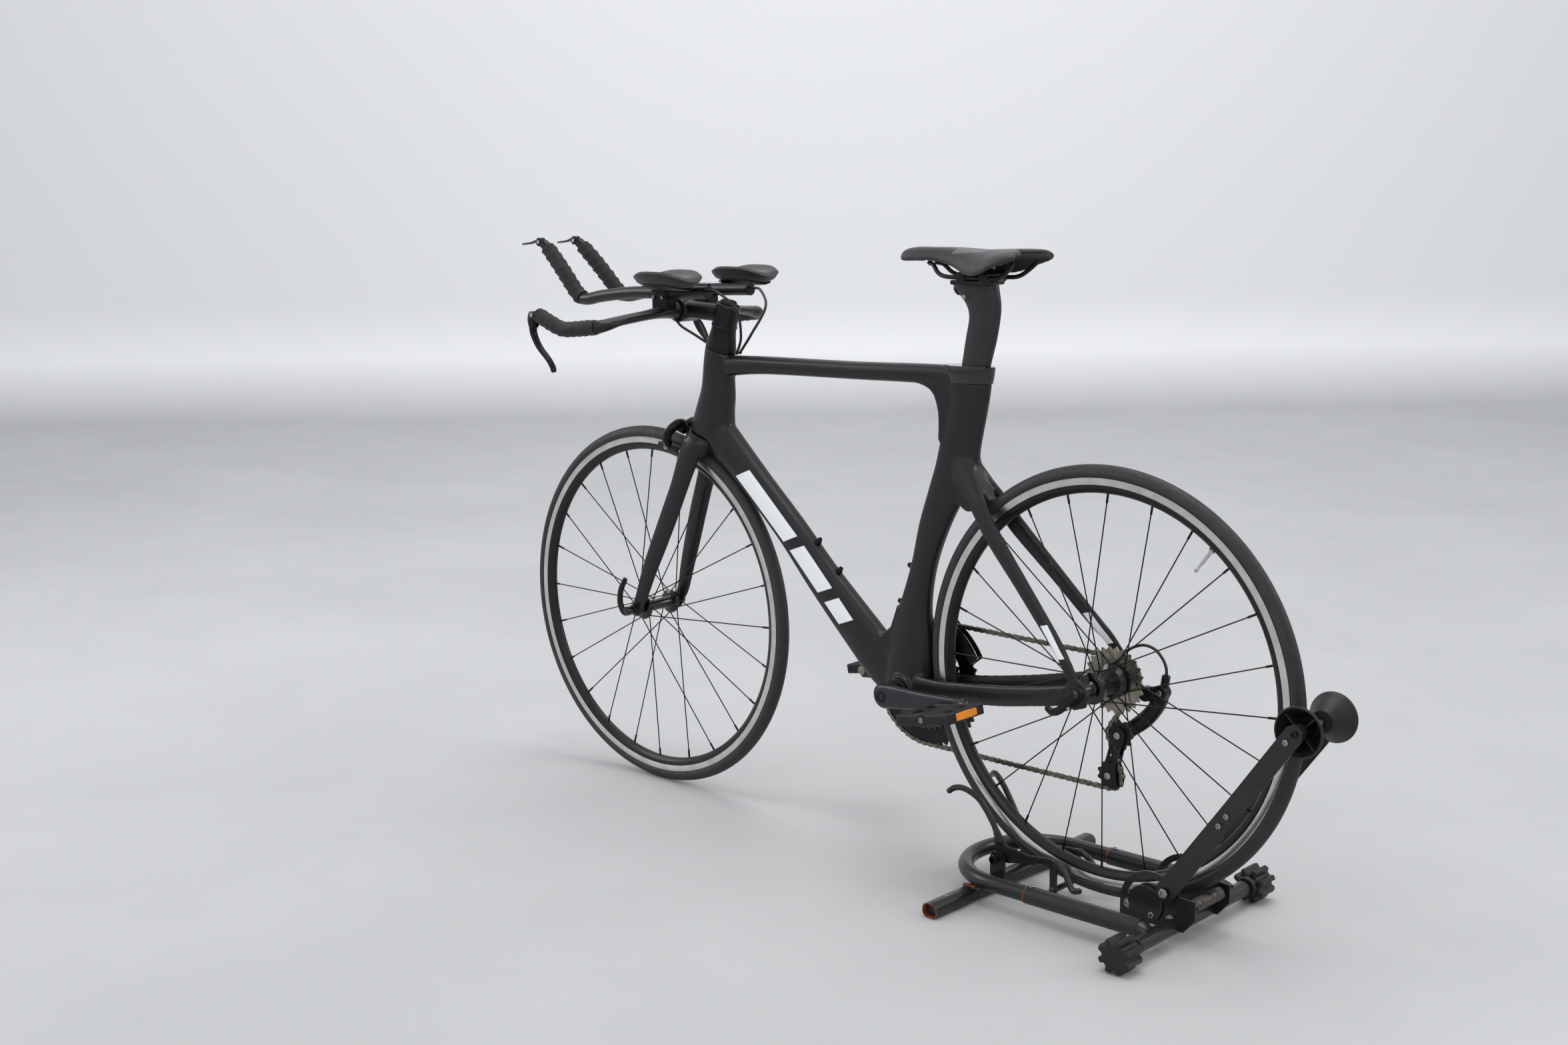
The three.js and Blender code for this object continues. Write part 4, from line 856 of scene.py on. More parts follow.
        f.make(f"pad_plate_{side}", "front_end", slot="moulded_plastic")
        g = Piece()
        pillow(g, M_FOAM, (-849.5, 95 * s, 944.6), 66, 42.5, 10.4, 17, 2.7, -2.0)
        pad = g.make(f"pad_cushion_{side}", "front_end", [f"arm_pad_{side}"], "foam_pad")

        w = Piece()
        w.put(revolve([(2, 7.4), (6.4, 7.2), (8, 5.8), (8, -5.8), (6.4, -7.2), (2, -7.4)],
                      (-1250.5, 43 * s, 1005), Y, 32, False), M_BLACK)
        w.put(cyl((-1250.5, 43 * s - 8.2, 1005), (-1250.5, 43 * s + 8.2, 1005), 3.6, 20, 0.5), M_SILVER)
        w.make(f"shifter_pod_{side}", f"shift_lever_{side}", (), "silver_alloy")
        w = Piece().put(tube([[-1252, 43 * s, 1008, 5.6, 3.6], [-1262, 43 * s, 1006.5, 5.4, 2.6],
                              [-1276, 43 * s, 1003, 5.2, 2.2],
                              [-1290, 43 * s, 1001.4, 6.2, 2.1], [-1299, 43 * s, 1000.4, 6.4, 1.9]], Y, 24,
                             3, 6, rounded=2), M_CRANK)
        w.make(f"shifter_paddle_{side}", f"shift_lever_{side}", [f"shift_lever_{side}"], "silver_alloy")


def pillow(piece, mat, c, a, b, half, lift, power=2.8, crown=0.0):
    """Crowned pad over a rounded outline, its sides lifted like a shallow trough."""
    n, levels = 64, 12
    rings = []
    for side in (1, -1):
        steps = np.linspace(0.02, 1.0, levels)
        for rho in (steps if side == 1 else steps[::-1][1:]):
            k = math.sqrt(max(0.0, 1 - rho ** 5))
            t = np.arange(n) / n * 2 * math.pi
            x = a * rho * np.sign(np.cos(t)) * np.abs(np.cos(t)) ** (2 / power)
            y = b * rho * np.sign(np.sin(t)) * np.abs(np.sin(t)) ** (2 / power)
            dish = lift * (y / b) ** 2 - crown * (x / a) ** 2
            rings.append(np.stack([c[0] + x, c[1] + y, c[2] + dish + side * half * k], 1))
    piece.put(skin(rings), mat)


make_cockpit()


# ---- Cables --------------------------------------------------------------------------------
def make_cable(name, points, bodies, replaced=()):
    d = curve(points, 10)
    p = Piece().put(tube([[*q, 2.4, 2.4] for q in d], np.array([0.9, 0.1, 0.2]), 12, 2, 1), M_HOUSING)
    ob = p.make(name, None)
    if isinstance(bodies, str):
        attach(ob, bodies)
    else:
        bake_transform(ob)
    if replaced:
        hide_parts(*replaced)


mix = ("frame_and_stand", "front_end", metres((-776, 0, 819)), metres((-785, 0, 915)))
for kind, bodies, route in (
        ("shift", mix, [[-791, 52, 930], [-768, 51, 926], [-742, 36, 898], [-756, 12, 850],
                        [-776, 3.2, 817.5]]),
        ("brake", "front_end", [[-903, 27, 873.5], [-890, 25.5, 862], [-868, 14, 847], [-851, 3.2, 834]])):
    for side, s in (("left", -1), ("right", 1)):
        make_cable(f"{kind}_cable_{side}", [[x, y * s, z] for x, y, z in route], bodies, [f"{kind}_cables"])
make_cable("derailleur_cable", [[-13, 73, 393], [0, 76, 402], [17, 79, 407], [34, 81, 403], [48, 81, 391],
                                [56, 79.5, 378],
                                [58, 78, 366]], BASE)


# ---- Wheels --------------------------------------------------------------------------------
def make_wheel(which, centre, body, valve, profile, flanges):
    c = (centre[0], 0, centre[1])
    rubber = tyre_rubber(f"{which}_tyre_rubber", centre)
    track = turned_metal(f"{which}_brake_track", centre, (0.50, 0.50, 0.49), (0.68, 0.67, 0.65), 0.26)
    black = turned_metal(f"{which}_rim_black", centre, (0.007, 0.007, 0.008), (0.012, 0.012, 0.013), 0.34,
                         900.0, 0.4)
    p = Piece()
    section = [[316.6, -8.8], [319, -10.6], [323, -12], [327.6, -11], [331, -9.2], [334, -6], [335.6, -2.6],
               [336, 0]]
    section += [[r, -y] for r, y in section[-2::-1]]
    p.put(revolve(curve(section, 4).tolist() + [[315, 6], [315, -6]], c, Y, 192), rubber)
    p.make(f"{which}_tyre_skin", body, [f"{which}_tyre"], "tyre")
    r = Piece()
    for s in (-1, 1):
        r.put(revolve([(316.4, 9.4 * s), (317.0, 10.0 * s), (316.6, 10.5 * s), (306.4, 10.5 * s),
                       (306.0, 10.2 * s),
                       (306.0, 8 * s), (316, 8 * s)], c, Y, 192), track)
    inner = curve([[306.3, -10.3], [301, -9.2], [296.4, -6.4], [293.2, -3.2], [292.5, 0], [293.2, 3.2],
                   [296.4, 6.4],
                   [301, 9.2], [306.3, 10.3]], 4).tolist()
    r.put(revolve(inner + [[303, 8], [303, -8]], c, Y, 192), black)
    t = math.radians(valve)
    out = np.array([math.sin(t), 0, math.cos(t)])
    o = np.array(c, float)
    r.put(revolve([(3.0, 249), (3.0, 252), (2.2, 253), (2.2, 262), (3, 263), (3, 294)], o, out, 16, False),
          M_SILVER)
    r.put(revolve([(1.2, 246), (2.6, 247), (2.6, 250.5), (1.2, 251)], o, out, 16, False), M_STEEL)
    r.put(revolve([(3.2, 288.4), (5.4, 288.4), (5.4, 291.4), (3.2, 291.4)], o, out, 16), M_SILVER)
    r.make(f"{which}_rim_skin", body, [f"{which}_rim"], "rim")
    h = Piece()
    h.put(revolve(profile, c, Y, 56, False), M_HUB)
    for side, (y, radius) in enumerate(flanges):
        for i in range(12):
            lead = 1 if i % 2 else -1
            rim_at = math.radians((i + side / 2) * 30)
            hub_at = rim_at + math.radians(52) * lead
            a = o + np.array([radius * math.cos(hub_at), y + 1.8 * lead, radius * math.sin(hub_at)])
            b = o + np.array([291.5 * math.cos(rim_at), math.copysign(2, y), 291.5 * math.sin(rim_at)])
            way = (b - a) / np.linalg.norm(b - a)
            h.put(cyl(a, b, 1.05, 10), M_SPOKE)
            h.put(cyl(b - way * 13, b + way * 2, 1.9, 10, 0.4), M_SPOKE)
            h.put(cyl(a - np.array([0, 1.6 * lead, 0]), a + np.array([0, 0.9 * lead, 0]), 2.0, 10, 0.4),
                  M_SPOKE)
    h.make(f"{which}_hub_skin", body, [f"{which}_hub"], "hub")


make_wheel("front", FRONT, "front_wheel", 14,
           [[0, -49.6], [8, -49.6], [8, -42], [9, -40], [12, -39], [20, -38], [22, -36.5], [22, -32],
            [20, -30.5], [13, -28],
            [11, -22], [10.4, 0], [11, 22], [13, 28], [20, 30.5], [22, 32], [22, 36.5], [20, 38], [12, 39],
            [9, 40],
            [8, 42], [8, 49.6], [0, 49.6]], [(-34, 17), (34, 17)])
make_wheel("rear", REAR, "rear_wheel", 38,
           [[0, -64.6], [9, -64.6], [9, -46], [12, -42], [16, -41], [23, -40], [25, -38], [25, -33.5],
            [23, -32], [20, -28],
            [18.4, -20], [18.4, 4], [20, 10], [25, 13], [27, 14.5], [27, 18], [25, 19.6], [15.5, 21],
            [15.5, 57.5], [9, 59],
            [9, 64.6], [0, 64.6]], [(-35.5, 22), (16.2, 24)])


# ---- Drivetrain ----------------------------------------------------------------------------
def make_drive():
    k = Piece()
    teeth = [25, 23, 21, 19, 17, 16, 15, 14, 13, 12, 11]
    for i, t in enumerate(teeth):
        y = 22.6 + i * 3.25
        wins = []
        if t > 18:
            rr = t * 2.02 - 9.0
            wins = [circle((rr * math.cos(math.radians(60 * j)), REAR[1] + rr
                            * math.sin(math.radians(60 * j))), 2.8, 12)
                    for j in range(6)]
        k.put(sprocket(REAR, t, y, y + 1.8, 16.9, wins), M_STEEL)
    k.put(revolve([(16.85, 23), (34, 23), (30, 26), (26, 36), (20, 44), (17.6, 56), (16.85, 56)], REAR_AXLE,
                  Y, 36), M_HUB)
    k.put(revolve([(16.85, 56.2), (20, 56.2), (20.6, 57), (20, 58.2), (16.85, 58.2)], REAR_AXLE, Y, 36),
          M_SILVER)
    k.make("cassette_stack", "cassette", ["cassette"], "steel")

    px, pz = CRANK_LENGTH * math.cos(CRANK_ANGLE), CRANK_LENGTH * math.sin(CRANK_ANGLE)

    def crank_rows(s, y0, y1):
        return [[BB[0] + s * 6, y0, BB[1] + s * 0.5, 7.5, 18.5],
                *([BB[0] - s * px * far, y, BB[1] - s * pz * far, half, deep] for far, y, half, deep in
                  ((0.12, y0, 8, 19), (0.5, (y0 + y1) / 2, 8, 15), (0.88, y1, 7, 13), (1, y1, 7, 13)))]

    c = Piece()
    wins = [circle((BB[0] + 56 * math.cos(math.radians(36 + 72 * i)), BB[1] + 56
                    * math.sin(math.radians(36 + 72 * i))), 23, 24)
            for i in range(5)]
    c.put(sprocket(BB, 53, 42.9, 46.1, 24, wins), M_BLACK)
    c.put(sprocket(BB, 39, 36.3, 38.9, 60), M_CRANK)
    for i in range(5):
        t = math.radians(72 * i)
        at = (BB[0] + 65 * math.cos(t), 36.3, BB[1] + 65 * math.sin(t))
        c.put(cyl(at, (at[0], 49, at[2]), 6, 24, 0.6), M_BLACK)
        bolt((at[0], 48.8, at[2]), (0, 1, 0), 4.4, 1.4, M_SILVER, c)
        arm = [[BB[0] + 14 * math.cos(t), 52, BB[1] + 14 * math.sin(t), 7, 12],
               [BB[0] + 40 * math.cos(t), 49, BB[1] + 40 * math.sin(t), 4, 9],
               [BB[0] + 70 * math.cos(t), 47.6, BB[1] + 70 * math.sin(t), 2.4, 9.5]]
        c.put(tube(arm, Y, 20, 2.8, 5, rounded=2), M_CRANK)
    c.put(revolve([(6, 42), (24, 42), (24.4, 60), (22, 71), (18, 72.6), (9, 72.6), (8, 70)], BB_AXLE, Y, 40,
                  False), M_CRANK)
    c.put(tube(crank_rows(1, 64, 77.5), Y, 32, 3, 8, rounded=5), M_CRANK)
    c.put(cyl((BB[0] - px, 85, BB[1] - pz), (BB[0] - px, 184, BB[1] - pz), 4.6, 20, 1), M_STEEL)
    c.put(cyl((BB[0] - px, 70, BB[1] - pz), (BB[0] - px, 86, BB[1] - pz), 8, 24, 1), M_STEEL)
    c.put(cyl((BB[0], -61, BB[1]), (BB[0], 42, BB[1]), 11.9, 28), M_STEEL)
    c.make("crank_set", "cranks", ["crank_right"], "crank")
    l = Piece()
    l.put(tube(crank_rows(-1, -70, -78), Y, 32, 3, 8, rounded=5), M_CRANK)
    l.put(revolve([(8, -62), (20.6, -62), (21, -64), (21, -70)], BB_AXLE, Y, 36, False), M_CRANK)
    l.put(revolve([(4, -76), (5, -78.6), (9.6, -78.8), (10.4, -78), (10.4, -76)], BB_AXLE, Y, 36, False),
          M_BLACK)
    l.put(cyl((BB[0] + px, -85, BB[1] + pz), (BB[0] + px, -184, BB[1] + pz), 4.6, 20, 1), M_STEEL)
    l.put(cyl((BB[0] + px, -70, BB[1] + pz), (BB[0] + px, -86, BB[1] + pz), 8, 24, 1), M_STEEL)
    l.make("crank_arm_left", "cranks", ["crank_left"], "crank")

    for side, s in (("left", -1), ("right", 1)):
        o = np.array([BB[0] - s * px, 136 * s, BB[1] - s * pz])
        def local(shape):
            return turned_about(moved(shape, o), o, (0, 1, 0), -11)
        q = Piece()
        for y in (-42, 42):
            q.put(local(tube([[-50, y, 0, 3.4, 7], [-36, y, 0, 3.6, 9], [0, y, 0, 4, 8], [36, y, 0, 3.6, 9],
                              [50, y, 0, 3.4, 7]], Y, 20, 3, 4)), M_PLASTIC)
        for x in (-49, 49):
            q.put(local(box(x - 4, x + 4, -44, 44, -8.6, 8.6)), M_PLASTIC)
        q.put(local(tube([[0, -45, 0, 11, 11], [0, -20, 0, 10, 10], [0, 20, 0, 10, 10], [0, 45, 0, 9, 9]], X,
                         28, 2.4, 4)), M_PLASTIC)
        for x in (-30, 30):
            q.put(local(tube([[x - 4, -42, 0, 5, 5], [x, 0, 0, 6, 5], [x - 4, 42, 0, 5, 5]], X, 16, 2.6, 5)),
                  M_PLASTIC)
        for y in (-18, 18):
            q.put(local(tube([[-48, y, 0, 4, 5.4], [0, y, 0, 5, 7], [48, y, 0, 4, 5.4]], Y, 16, 2.8, 5)),
                  M_PLASTIC)
        body = fuse(q.make(f"pedal_body_{side}", None), 0.0015, 4)
        settle(body, f"pedal_{side}", [f"pedal_{side}"])
        a = Piece()
        for x in (-1, 1):
            a.put(local(tube([[x * 52.4, -25, 0, 5.6, 1.4], [x * 52.6, 0, 0, 6.2, 1.6],
                              [x * 52.4, 25, 0, 5.6, 1.4]], Z, 20, 5, 3)), M_AMBER)
            a.put(local(tube([[x * 52, -28, 0, 7.6, 1.2], [x * 52, 28, 0, 7.6, 1.2]], Z, 20, 5, 1)),
                  M_PLASTIC)
        a.make(f"pedal_reflector_{side}", f"pedal_{side}", slot="pedal")

    loop = (circle(BB, RING_RADIUS, 60, 90, 180) + circle(TENSION, PULLEY_RADIUS, 24, 270, 115.8)
            + circle(GUIDE, PULLEY_RADIUS, 16, 205.8, -62) + circle(REAR, SPROCKET_RADIUS, 30, -36.2, 126.2))
    pts = np.array(loop + [loop[0]])
    seg = np.linalg.norm(np.diff(pts, axis=0), axis=1)
    total = seg.sum()
    links = 2 * round(total / PITCH / 2)
    at = np.concatenate([[0], np.cumsum(seg)])
    joint = np.array([[np.interp(i / links * total, at, pts[:, k]) for k in (0, 1)] for i in range(links)])
    ch = Piece()
    for i in range(links):
        a, b = joint[i], joint[(i + 1) % links]
        u = (b - a) / np.linalg.norm(b - a)
        w = np.array([-u[1], u[0]])
        outline = []
        for base, sign in ((a, -1), (b, 1)):
            for deg in (-70, -35, 0, 35, 70):
                t = math.radians(deg)
                outline.append(tuple(base + u * sign * 4.1 * math.cos(t) + w * sign * 4.1 * math.sin(t)))
            outline.append(tuple((a + b) / 2 + w * sign * 2.7))
        for y0, y1 in (((-3.4, -2.5), (2.5, 3.4)) if i % 2 else ((-2.4, -1.5), (1.5, 2.4))):
            ch.put(plate(outline, CHAINLINE + y0, CHAINLINE + y1), M_CHAIN)
        ch.put(cyl((a[0], 40.9, a[1]), (a[0], 48.1, a[1]), 1.8, 8), M_CHAIN)
        ch.put(cyl((a[0], 43.0, a[1]), (a[0], 46.0, a[1]), 3.7, 10), M_CHAIN)
    ch.make("chain_links", BASE, ["chain"], "steel", weld=0.0005)

    for name, centre in (("guide_pulley", GUIDE), ("tension_pulley", TENSION)):
        g = Piece().put(sprocket(centre, 11, 43.3, 45.7, 7, tall=2.8), M_PLASTIC)
        g.put(revolve([(4, 42.4), (7.6, 42.4), (7.6, 46.6), (4, 46.6)], (centre[0], 0, centre[1]), Y, 28),
              M_STEEL)
        g.make(f"{name}_wheel", name, [name], "moulded_plastic")
    d = Piece()
    for y0, y1 in ((36.6, 38.4), (50.6, 52.6)):
        outline = (circle(GUIDE, 13.5, 12, -25, 200) + [(-17, 246), (-22, 228)]
                   + circle(TENSION, 14, 12, 160, 90)
            + [(-14, 180), (0, 182), (-5, 214), (1, 240)])
        d.put(plate(outline, y0, y1, [circle((-8, 247), 3.6, 16), circle((-11.5, 234), 3.2, 16),
                                      circle((-13, 223), 2.6, 16)]), M_BLACK)
    for cx, cz in (GUIDE, TENSION):
        d.put(cyl((cx, 36, cz), (cx, 54, cz), 3.4, 20, 0.4), M_BLACK)
        bolt((cx, 36.4, cz), (0, -1, 0), 5.6, 1.6, M_ZINC, d)
    d.make("cage_plates", BASE, ["derailleur_cage"], "silver_alloy")
    m = Piece()
    m.put(cyl((22, 72, 331), (22, 87, 331), 12, 32), M_BLACK)
    m.put(cyl((50, 70, 338), (50, 88, 338), 12, 32), M_BLACK)
    m.put(tube([[18, 80, 331, 7, 9], [36, 80, 335, 7, 9], [52, 80, 338, 7, 9]], Y, 24, 3, 4), M_BLACK)
    m.put(tube([[52, 80, 342, 9, 10], [46, 82, 326, 10, 12], [36, 82, 308, 10, 12.5], [20, 78, 288, 9, 13],
                [0, 66, 270, 7, 12]], Y, 28, 2.6, 6), M_BLACK)
    m.put(cyl((-2, 53.6, 268), (-2, 68, 268), 13, 32), M_BLACK)
    body = fuse(m.make("derailleur_body", None), 0.0013, 4)
    settle(body, BASE, ["rear_derailleur"])
    n = Piece()
    bolt((22, 86, 331), (0, 1, 0), 7, 3, M_ZINC, n)
    bolt((-2, 67, 268), (0, 1, 0), 8, 2.4, M_SILVER, n)
    bolt((50, 70.6, 338), (0, -1, 0), 5, 2.0, M_ZINC, n)
    n.put(cyl((53, 80, 342), (58, 78, 366), 6.4, 24, 1), M_BLACK)
    for j in range(5):
        o = np.array([53 + j * 1.0, 80 - j * 0.4, 344 + j * 4.8])
        n.put(revolve([(5.6, -1.1), (7.0, -0.7), (7.0, 0.7), (5.6, 1.1)], o, (5, -2, 24), 20), M_BLACK)
    n.make("derailleur_bolts", BASE, slot="silver_alloy")
    f = Piece()
    def arc(r, a0, a1):
        return circle(BB, r, 14, a0, a1 - a0)
    for y0, y1, mat in ((37.2, 38.8, M_STEEL), (49.6, 50.9, M_BLACK)):
        f.put(plate(arc(105.5, 26, 58) + [(-352, 404), (-330, 404)] + arc(126, 56, 28), y0, y1), mat)
    f.put(box(-351, -331, 37.5, 50.5, 398.5, 403.5), M_STEEL)
    f.put(tube([[-343, 50, 399, 6, 5], [-346, 38, 396, 8, 7], [-356, 27, 390, 8, 10],
                [-368, 19, 384, 5, 12]], Z, 20, 2.6, 5), M_BLACK)
    bolt((-343, 38, 396), (0, -1, 0), 4, 2, M_ZINC, f)
    f.make("front_mech", BASE, ["front_derailleur"], "silver_alloy")


make_drive()


def make_skewers():
    f = Piece().put(tube([[-1001, -72.6, 336, 3.6, 8], [-1013, -73.5, 334, 4, 7.4],
                          [-1022, -73.5, 349, 4, 6.4],
                          [-1021, -72, 372, 3.6, 6], [-1011, -69, 394, 3, 5]], Y, 24, 2.4, 8, rounded=4),
                    M_BLACK)
    f.put(revolve([(2, -66.6), (8, -66.6), (9, -70), (8.4, -77), (4, -77.6)], FRONT_AXLE, Y, 28, False),
          M_HUB)
    f.make("front_skewer_lever", "front_qr_lever", ["front_qr_lever"], "silver_alloy")
    r = Piece().put(tube([[3, -88.6, 360, 3.6, 8], [-8, -89, 350, 4, 7.4], [-20, -89, 334, 4, 6.4],
                          [-36, -87, 327, 3.6, 6],
                          [-48, -84.6, 331, 3, 5]], Y, 24, 2.4, 8, rounded=4), M_BLACK)
    r.put(revolve([(2, -81.6), (8, -81.6), (9, -85), (8.4, -91), (4, -92)], REAR_AXLE, Y, 28, False), M_HUB)
    r.make("rear_skewer_lever", "rear_qr_lever", ["rear_qr_lever"], "silver_alloy")


make_skewers()


# ---- Stand ---------------------------------------------------------------------------------
def make_stand():
    rear = (REAR_BAR[0], 0, REAR_BAR[1])
    p = Piece()
    bend = circle((-125, 0), RAIL_Y, 40, 270, -180)
    rows = [[-60, -RAIL_Y, 38.2, 12.7, 12.7], [-100, -RAIL_Y, 38.2, 12.7, 12.7]] + [[x, y, 38.2, 12.7, 12.7]
                                                                                    for x, y in bend] \
        + [[-100, RAIL_Y, 38.2, 12.7, 12.7], [-60, RAIL_Y, 38.2, 12.7, 12.7]]
    p.put(tube(rows, Z, 28, 2, 1), M_STAND)
    p.make("loop_tube", BASE, ["stand_front_loop"], "stand_paint")
    b = Piece()
    for s in (-1, 1):
        b.put(tube([[FOOT_X, 40 * s, 12.05, 12.3, 14.5], [FOOT_X, 204 * s, 12.05, 12.3, 14.5]], Z, 36, 2.5,
                   1), M_STAND)
        inner = ring(np.array([FOOT_X, 212 * s, 12.05]), Z, X, 10.2, 12.4, 36, 2.5)
        outer = ring(np.array([FOOT_X, 212 * s, 12.05]), Z, X, 12.2, 14.4, 36, 2.5)
        start = ring(np.array([FOOT_X, 203 * s, 12.05]), Z, X, 12.3, 14.5, 36, 2.5)
        deep = ring(np.array([FOOT_X, 190 * s, 12.05]), Z, X, 9.8, 12.0, 36, 2.5)
        b.put(skin([start, outer], caps=False), M_STAND)
        b.put(skin([outer, inner, deep], caps=False), M_RUST)
        b.put((deep, [tuple(range(36))]), M_RUST)
        ear = [(-186, 20), (-186, 52), (-180, 60), (-164, 60), (-158, 52), (-158, 20)]
        b.put(plate(ear, 38 * s, 42 * s, [circle((FOOT_X, 50), 5, 20)]), M_STAND)
        b.put(cyl((FOOT_X, 26 * s, 50), (FOOT_X, 50 * s, 50), 5, 24, 0.6), M_BLACK)
        bolt((FOOT_X, 50 * s, 50), (0, s, 0), 7.5, 5, M_BLACK, b)
        b.put(cyl((-183, RAIL_Y * s, 23), (-161, RAIL_Y * s, 23), 4, 16), M_RUST)
        b.put(cyl((FOOT_X, 170 * s, 24), (FOOT_X, 170 * s, 24.7), 3, 20), M_ZINC)
    b.put(tube([[FOOT_X, -40, 12.05, 12.3, 14.5], [FOOT_X, 40, 12.05, 12.3, 14.5]], Z, 36, 2.5, 1), M_STAND)
    b.make("front_foot_bar", BASE, ["stand_front_bar"], "stand_paint")
    q = Piece()
    q.put(cyl((REAR_BAR[0], -150, REAR_BAR[1]), (REAR_BAR[0], 150, REAR_BAR[1]), 12.7, 36), M_STAND)
    for s in (-1, 1):
        q.put(cyl((REAR_BAR[0], 149 * s, REAR_BAR[1]), (REAR_BAR[0], 203.4 * s, REAR_BAR[1]), 9, 28, 1),
              M_PLASTIC)
        q.put(revolve([(12.6, 144 * s), (13.1, 145 * s), (13.1, 150 * s), (12.4, 151 * s), (9, 151 * s)],
                      rear, Y, 36, False), M_PLASTIC)
    q.make("rear_foot_bar", BASE, ["stand_rear_bar"], "stand_paint")
    for side, s in (("left", -1), ("right", 1)):
        t = Piece()
        t.put(cyl((-60, RAIL_Y * s, 38.2), (143, RAIL_Y * s, 38.2), 14.2, 32, 0.8), M_STAND)
        t.put(tube([[128, RAIL_Y * s, 38.2, 14.2, 14.2], [148, RAIL_Y * s, 36, 14.0, 13],
                    [157, RAIL_Y * s, 34, 13, 10]], Y, 28, 2, 3), M_STAND)
        t.put(revolve([(12.8, -61.4), (14.3, -60.6), (14.35, -58.6), (12.8, -58)], (0, RAIL_Y * s, 38.2), X,
                      32), M_RUST)
        bolt((-52, RAIL_Y * s, 52), (0, 0, 1), 4, 2.6, M_ZINC, t)
        t.make(f"rail_tube_{side}", BASE, [f"stand_rail_{side}"], "stand_paint")
        k = Piece()
        n = 160
        rings = []
        for y, g in ((164.6, 0.86), (167, 1.0), (184, 1.0), (203.6, 1.0), (205.6, 0.94), (205.8, 0.6)):
            a = np.arange(n) / n * 2 * math.pi
            lobes = np.clip(np.cos(a * 8 + math.pi) * 2.2, -1, 1)
            r = (23.6 + 3.4 * lobes) * g
            rings.append(np.stack([rear[0] + r * np.cos(a - math.pi / 2), np.full(n, y * s), rear[2] + r
                                   * np.sin(a - math.pi / 2)], 1))
        k.put(skin(rings), M_PLASTIC)
        k.put(revolve([(9.4, 156.6 * s), (15, 157 * s), (16.5, 159 * s), (17, 166 * s), (9.4, 168 * s)],
                      rear, Y, 36, False), M_PLASTIC)
        k.make(f"knob_{side}", f"stand_knob_{side}", [f"stand_knob_{side}"], "moulded_plastic")
        g = Piece()
        outline = [(66, 21)] + circle((121, 47), 55, 24, 180, -150) + [(196, 72), (196, 44), (176, 21)]
        slot = circle((121, 47), 45, 20, 165, -95) + circle((121, 47), 37, 20, 70, 95)
        g.put(plate(outline, 46.2 * s, 49.8 * s, [slot]), M_STAND)
        g.put(cyl((112, 50 * s, 50), (112, 54 * s, 50), 30, 48, 1.2), M_STAND)
        for x, z in ((80, 43), (123, 36), (154, 36)):
            g.put(cyl((x, 49.6 * s, z), (x, 51.2 * s, z), 7, 24, 0.4), M_ZINC)
            bolt((x, 51.2 * s, z), (0, s, 0), 5, 3.4, M_ZINC, g)
        g.put(cyl((150, 49 * s, 80), (150, 64 * s, 80), 5, 24), M_ZINC)
        bolt((150, 63 * s, 80), (0, s, 0), 8, 4, M_ZINC, g, 6)
        g.make(f"guard_plate_{side}", BASE, [f"stand_guard_{side}"], "moulded_plastic")
        c = Piece()
        cones = np.array([CONE_AXLE[0], 0.0, CONE_AXLE[1]])
        prof = curve([[15, 16], [17, 17], [20, 22], [26, 31], [32, 40.5], [37, 48], [37.2, 51],
                      [36.4, 52.2]], 4).tolist()
        inner = [[34.4, 52], [34, 49.6], [24, 33], [16, 21.6], [11.2, 21.2], [11, 49.6], [10.4, 50.2],
                 [6.2, 50.2], [6, 16]]
        c.put(revolve([(r, d * s) for r, d in prof + inner], cones, Y, 64), M_PLASTIC)
        for j in range(4):
            a = math.radians(45 + 90 * j)
            u, w = np.array([math.cos(a), 0, math.sin(a)]), np.array([-math.sin(a), 0, math.cos(a)])
            quad = [(10.5, 22.5), (15, 22.5), (32.5, 48), (10.5, 48)]
            v = [cones + u * r + Y * d * s + w * e for e in (-1, 1) for r, d in quad]
            c.put((np.array(v), [(0, 1, 2, 3), (7, 6, 5, 4), (0, 4, 5, 1), (1, 5, 6, 2), (2, 6, 7, 3),
                                 (3, 7, 4, 0)]), M_PLASTIC)
        c.make(f"cone_{side}", f"stand_cone_{side}", [f"stand_cone_{side}"], "moulded_plastic")
    h = Piece()
    for s in (-1, 1):
        h.put(tube([[-258, 57 * s, 147, 5, 5], [-251, 52 * s, 152.5, 5, 5], [-241, 46 * s, 153.5, 5, 5],
                    [-228, 40 * s, 148, 5, 5],
                    [-211, 34 * s, 134, 5, 5], [-190, 31 * s, 104, 5, 5], [-174, 31 * s, 74, 5, 5]], Y, 20,
                   2, 8, rounded=4), M_STAND)
        flank = [(-188, 94), (-178, 96), (-160, 72), (-120, 66), (-58, 72), (-52, 62), (-120, 52),
                 (-158, 42), (-180, 42)]
        h.put(plate(flank, 29.4 * s, 33.6 * s, [circle((FOOT_X, 50), 5.6, 20)]), M_STAND)
        h.put(tube([[-66, 32 * s, 67, 5, 5], [-50, 34 * s, 59, 5, 5], [-38, 37 * s, 44, 5, 5],
                    [-26, 41.5 * s, 32.5, 5, 5],
                    [-12, 44 * s, 36, 5, 5]], Y, 20, 2, 8, rounded=4), M_STAND)
        h.put(plate([(-76, 13), (-76, 70), (-63, 70), (-63, 13)], 29 * s, 34 * s), M_STAND)
    h.put(cyl((-70, -38, 19), (-70, 38, 19), 5, 24, 0.8), M_STAND)
    ob = fuse(h.make("cradle_hooks", None), 0.0016, 3)
    settle(ob, "stand_cradle", ["stand_cradle"])
    a = Piece()
    (x0, z0), (x1, z1) = ARM_PIVOT, CONE_AXLE
    t = math.degrees(math.atan2(z1 - z0, x1 - x0))
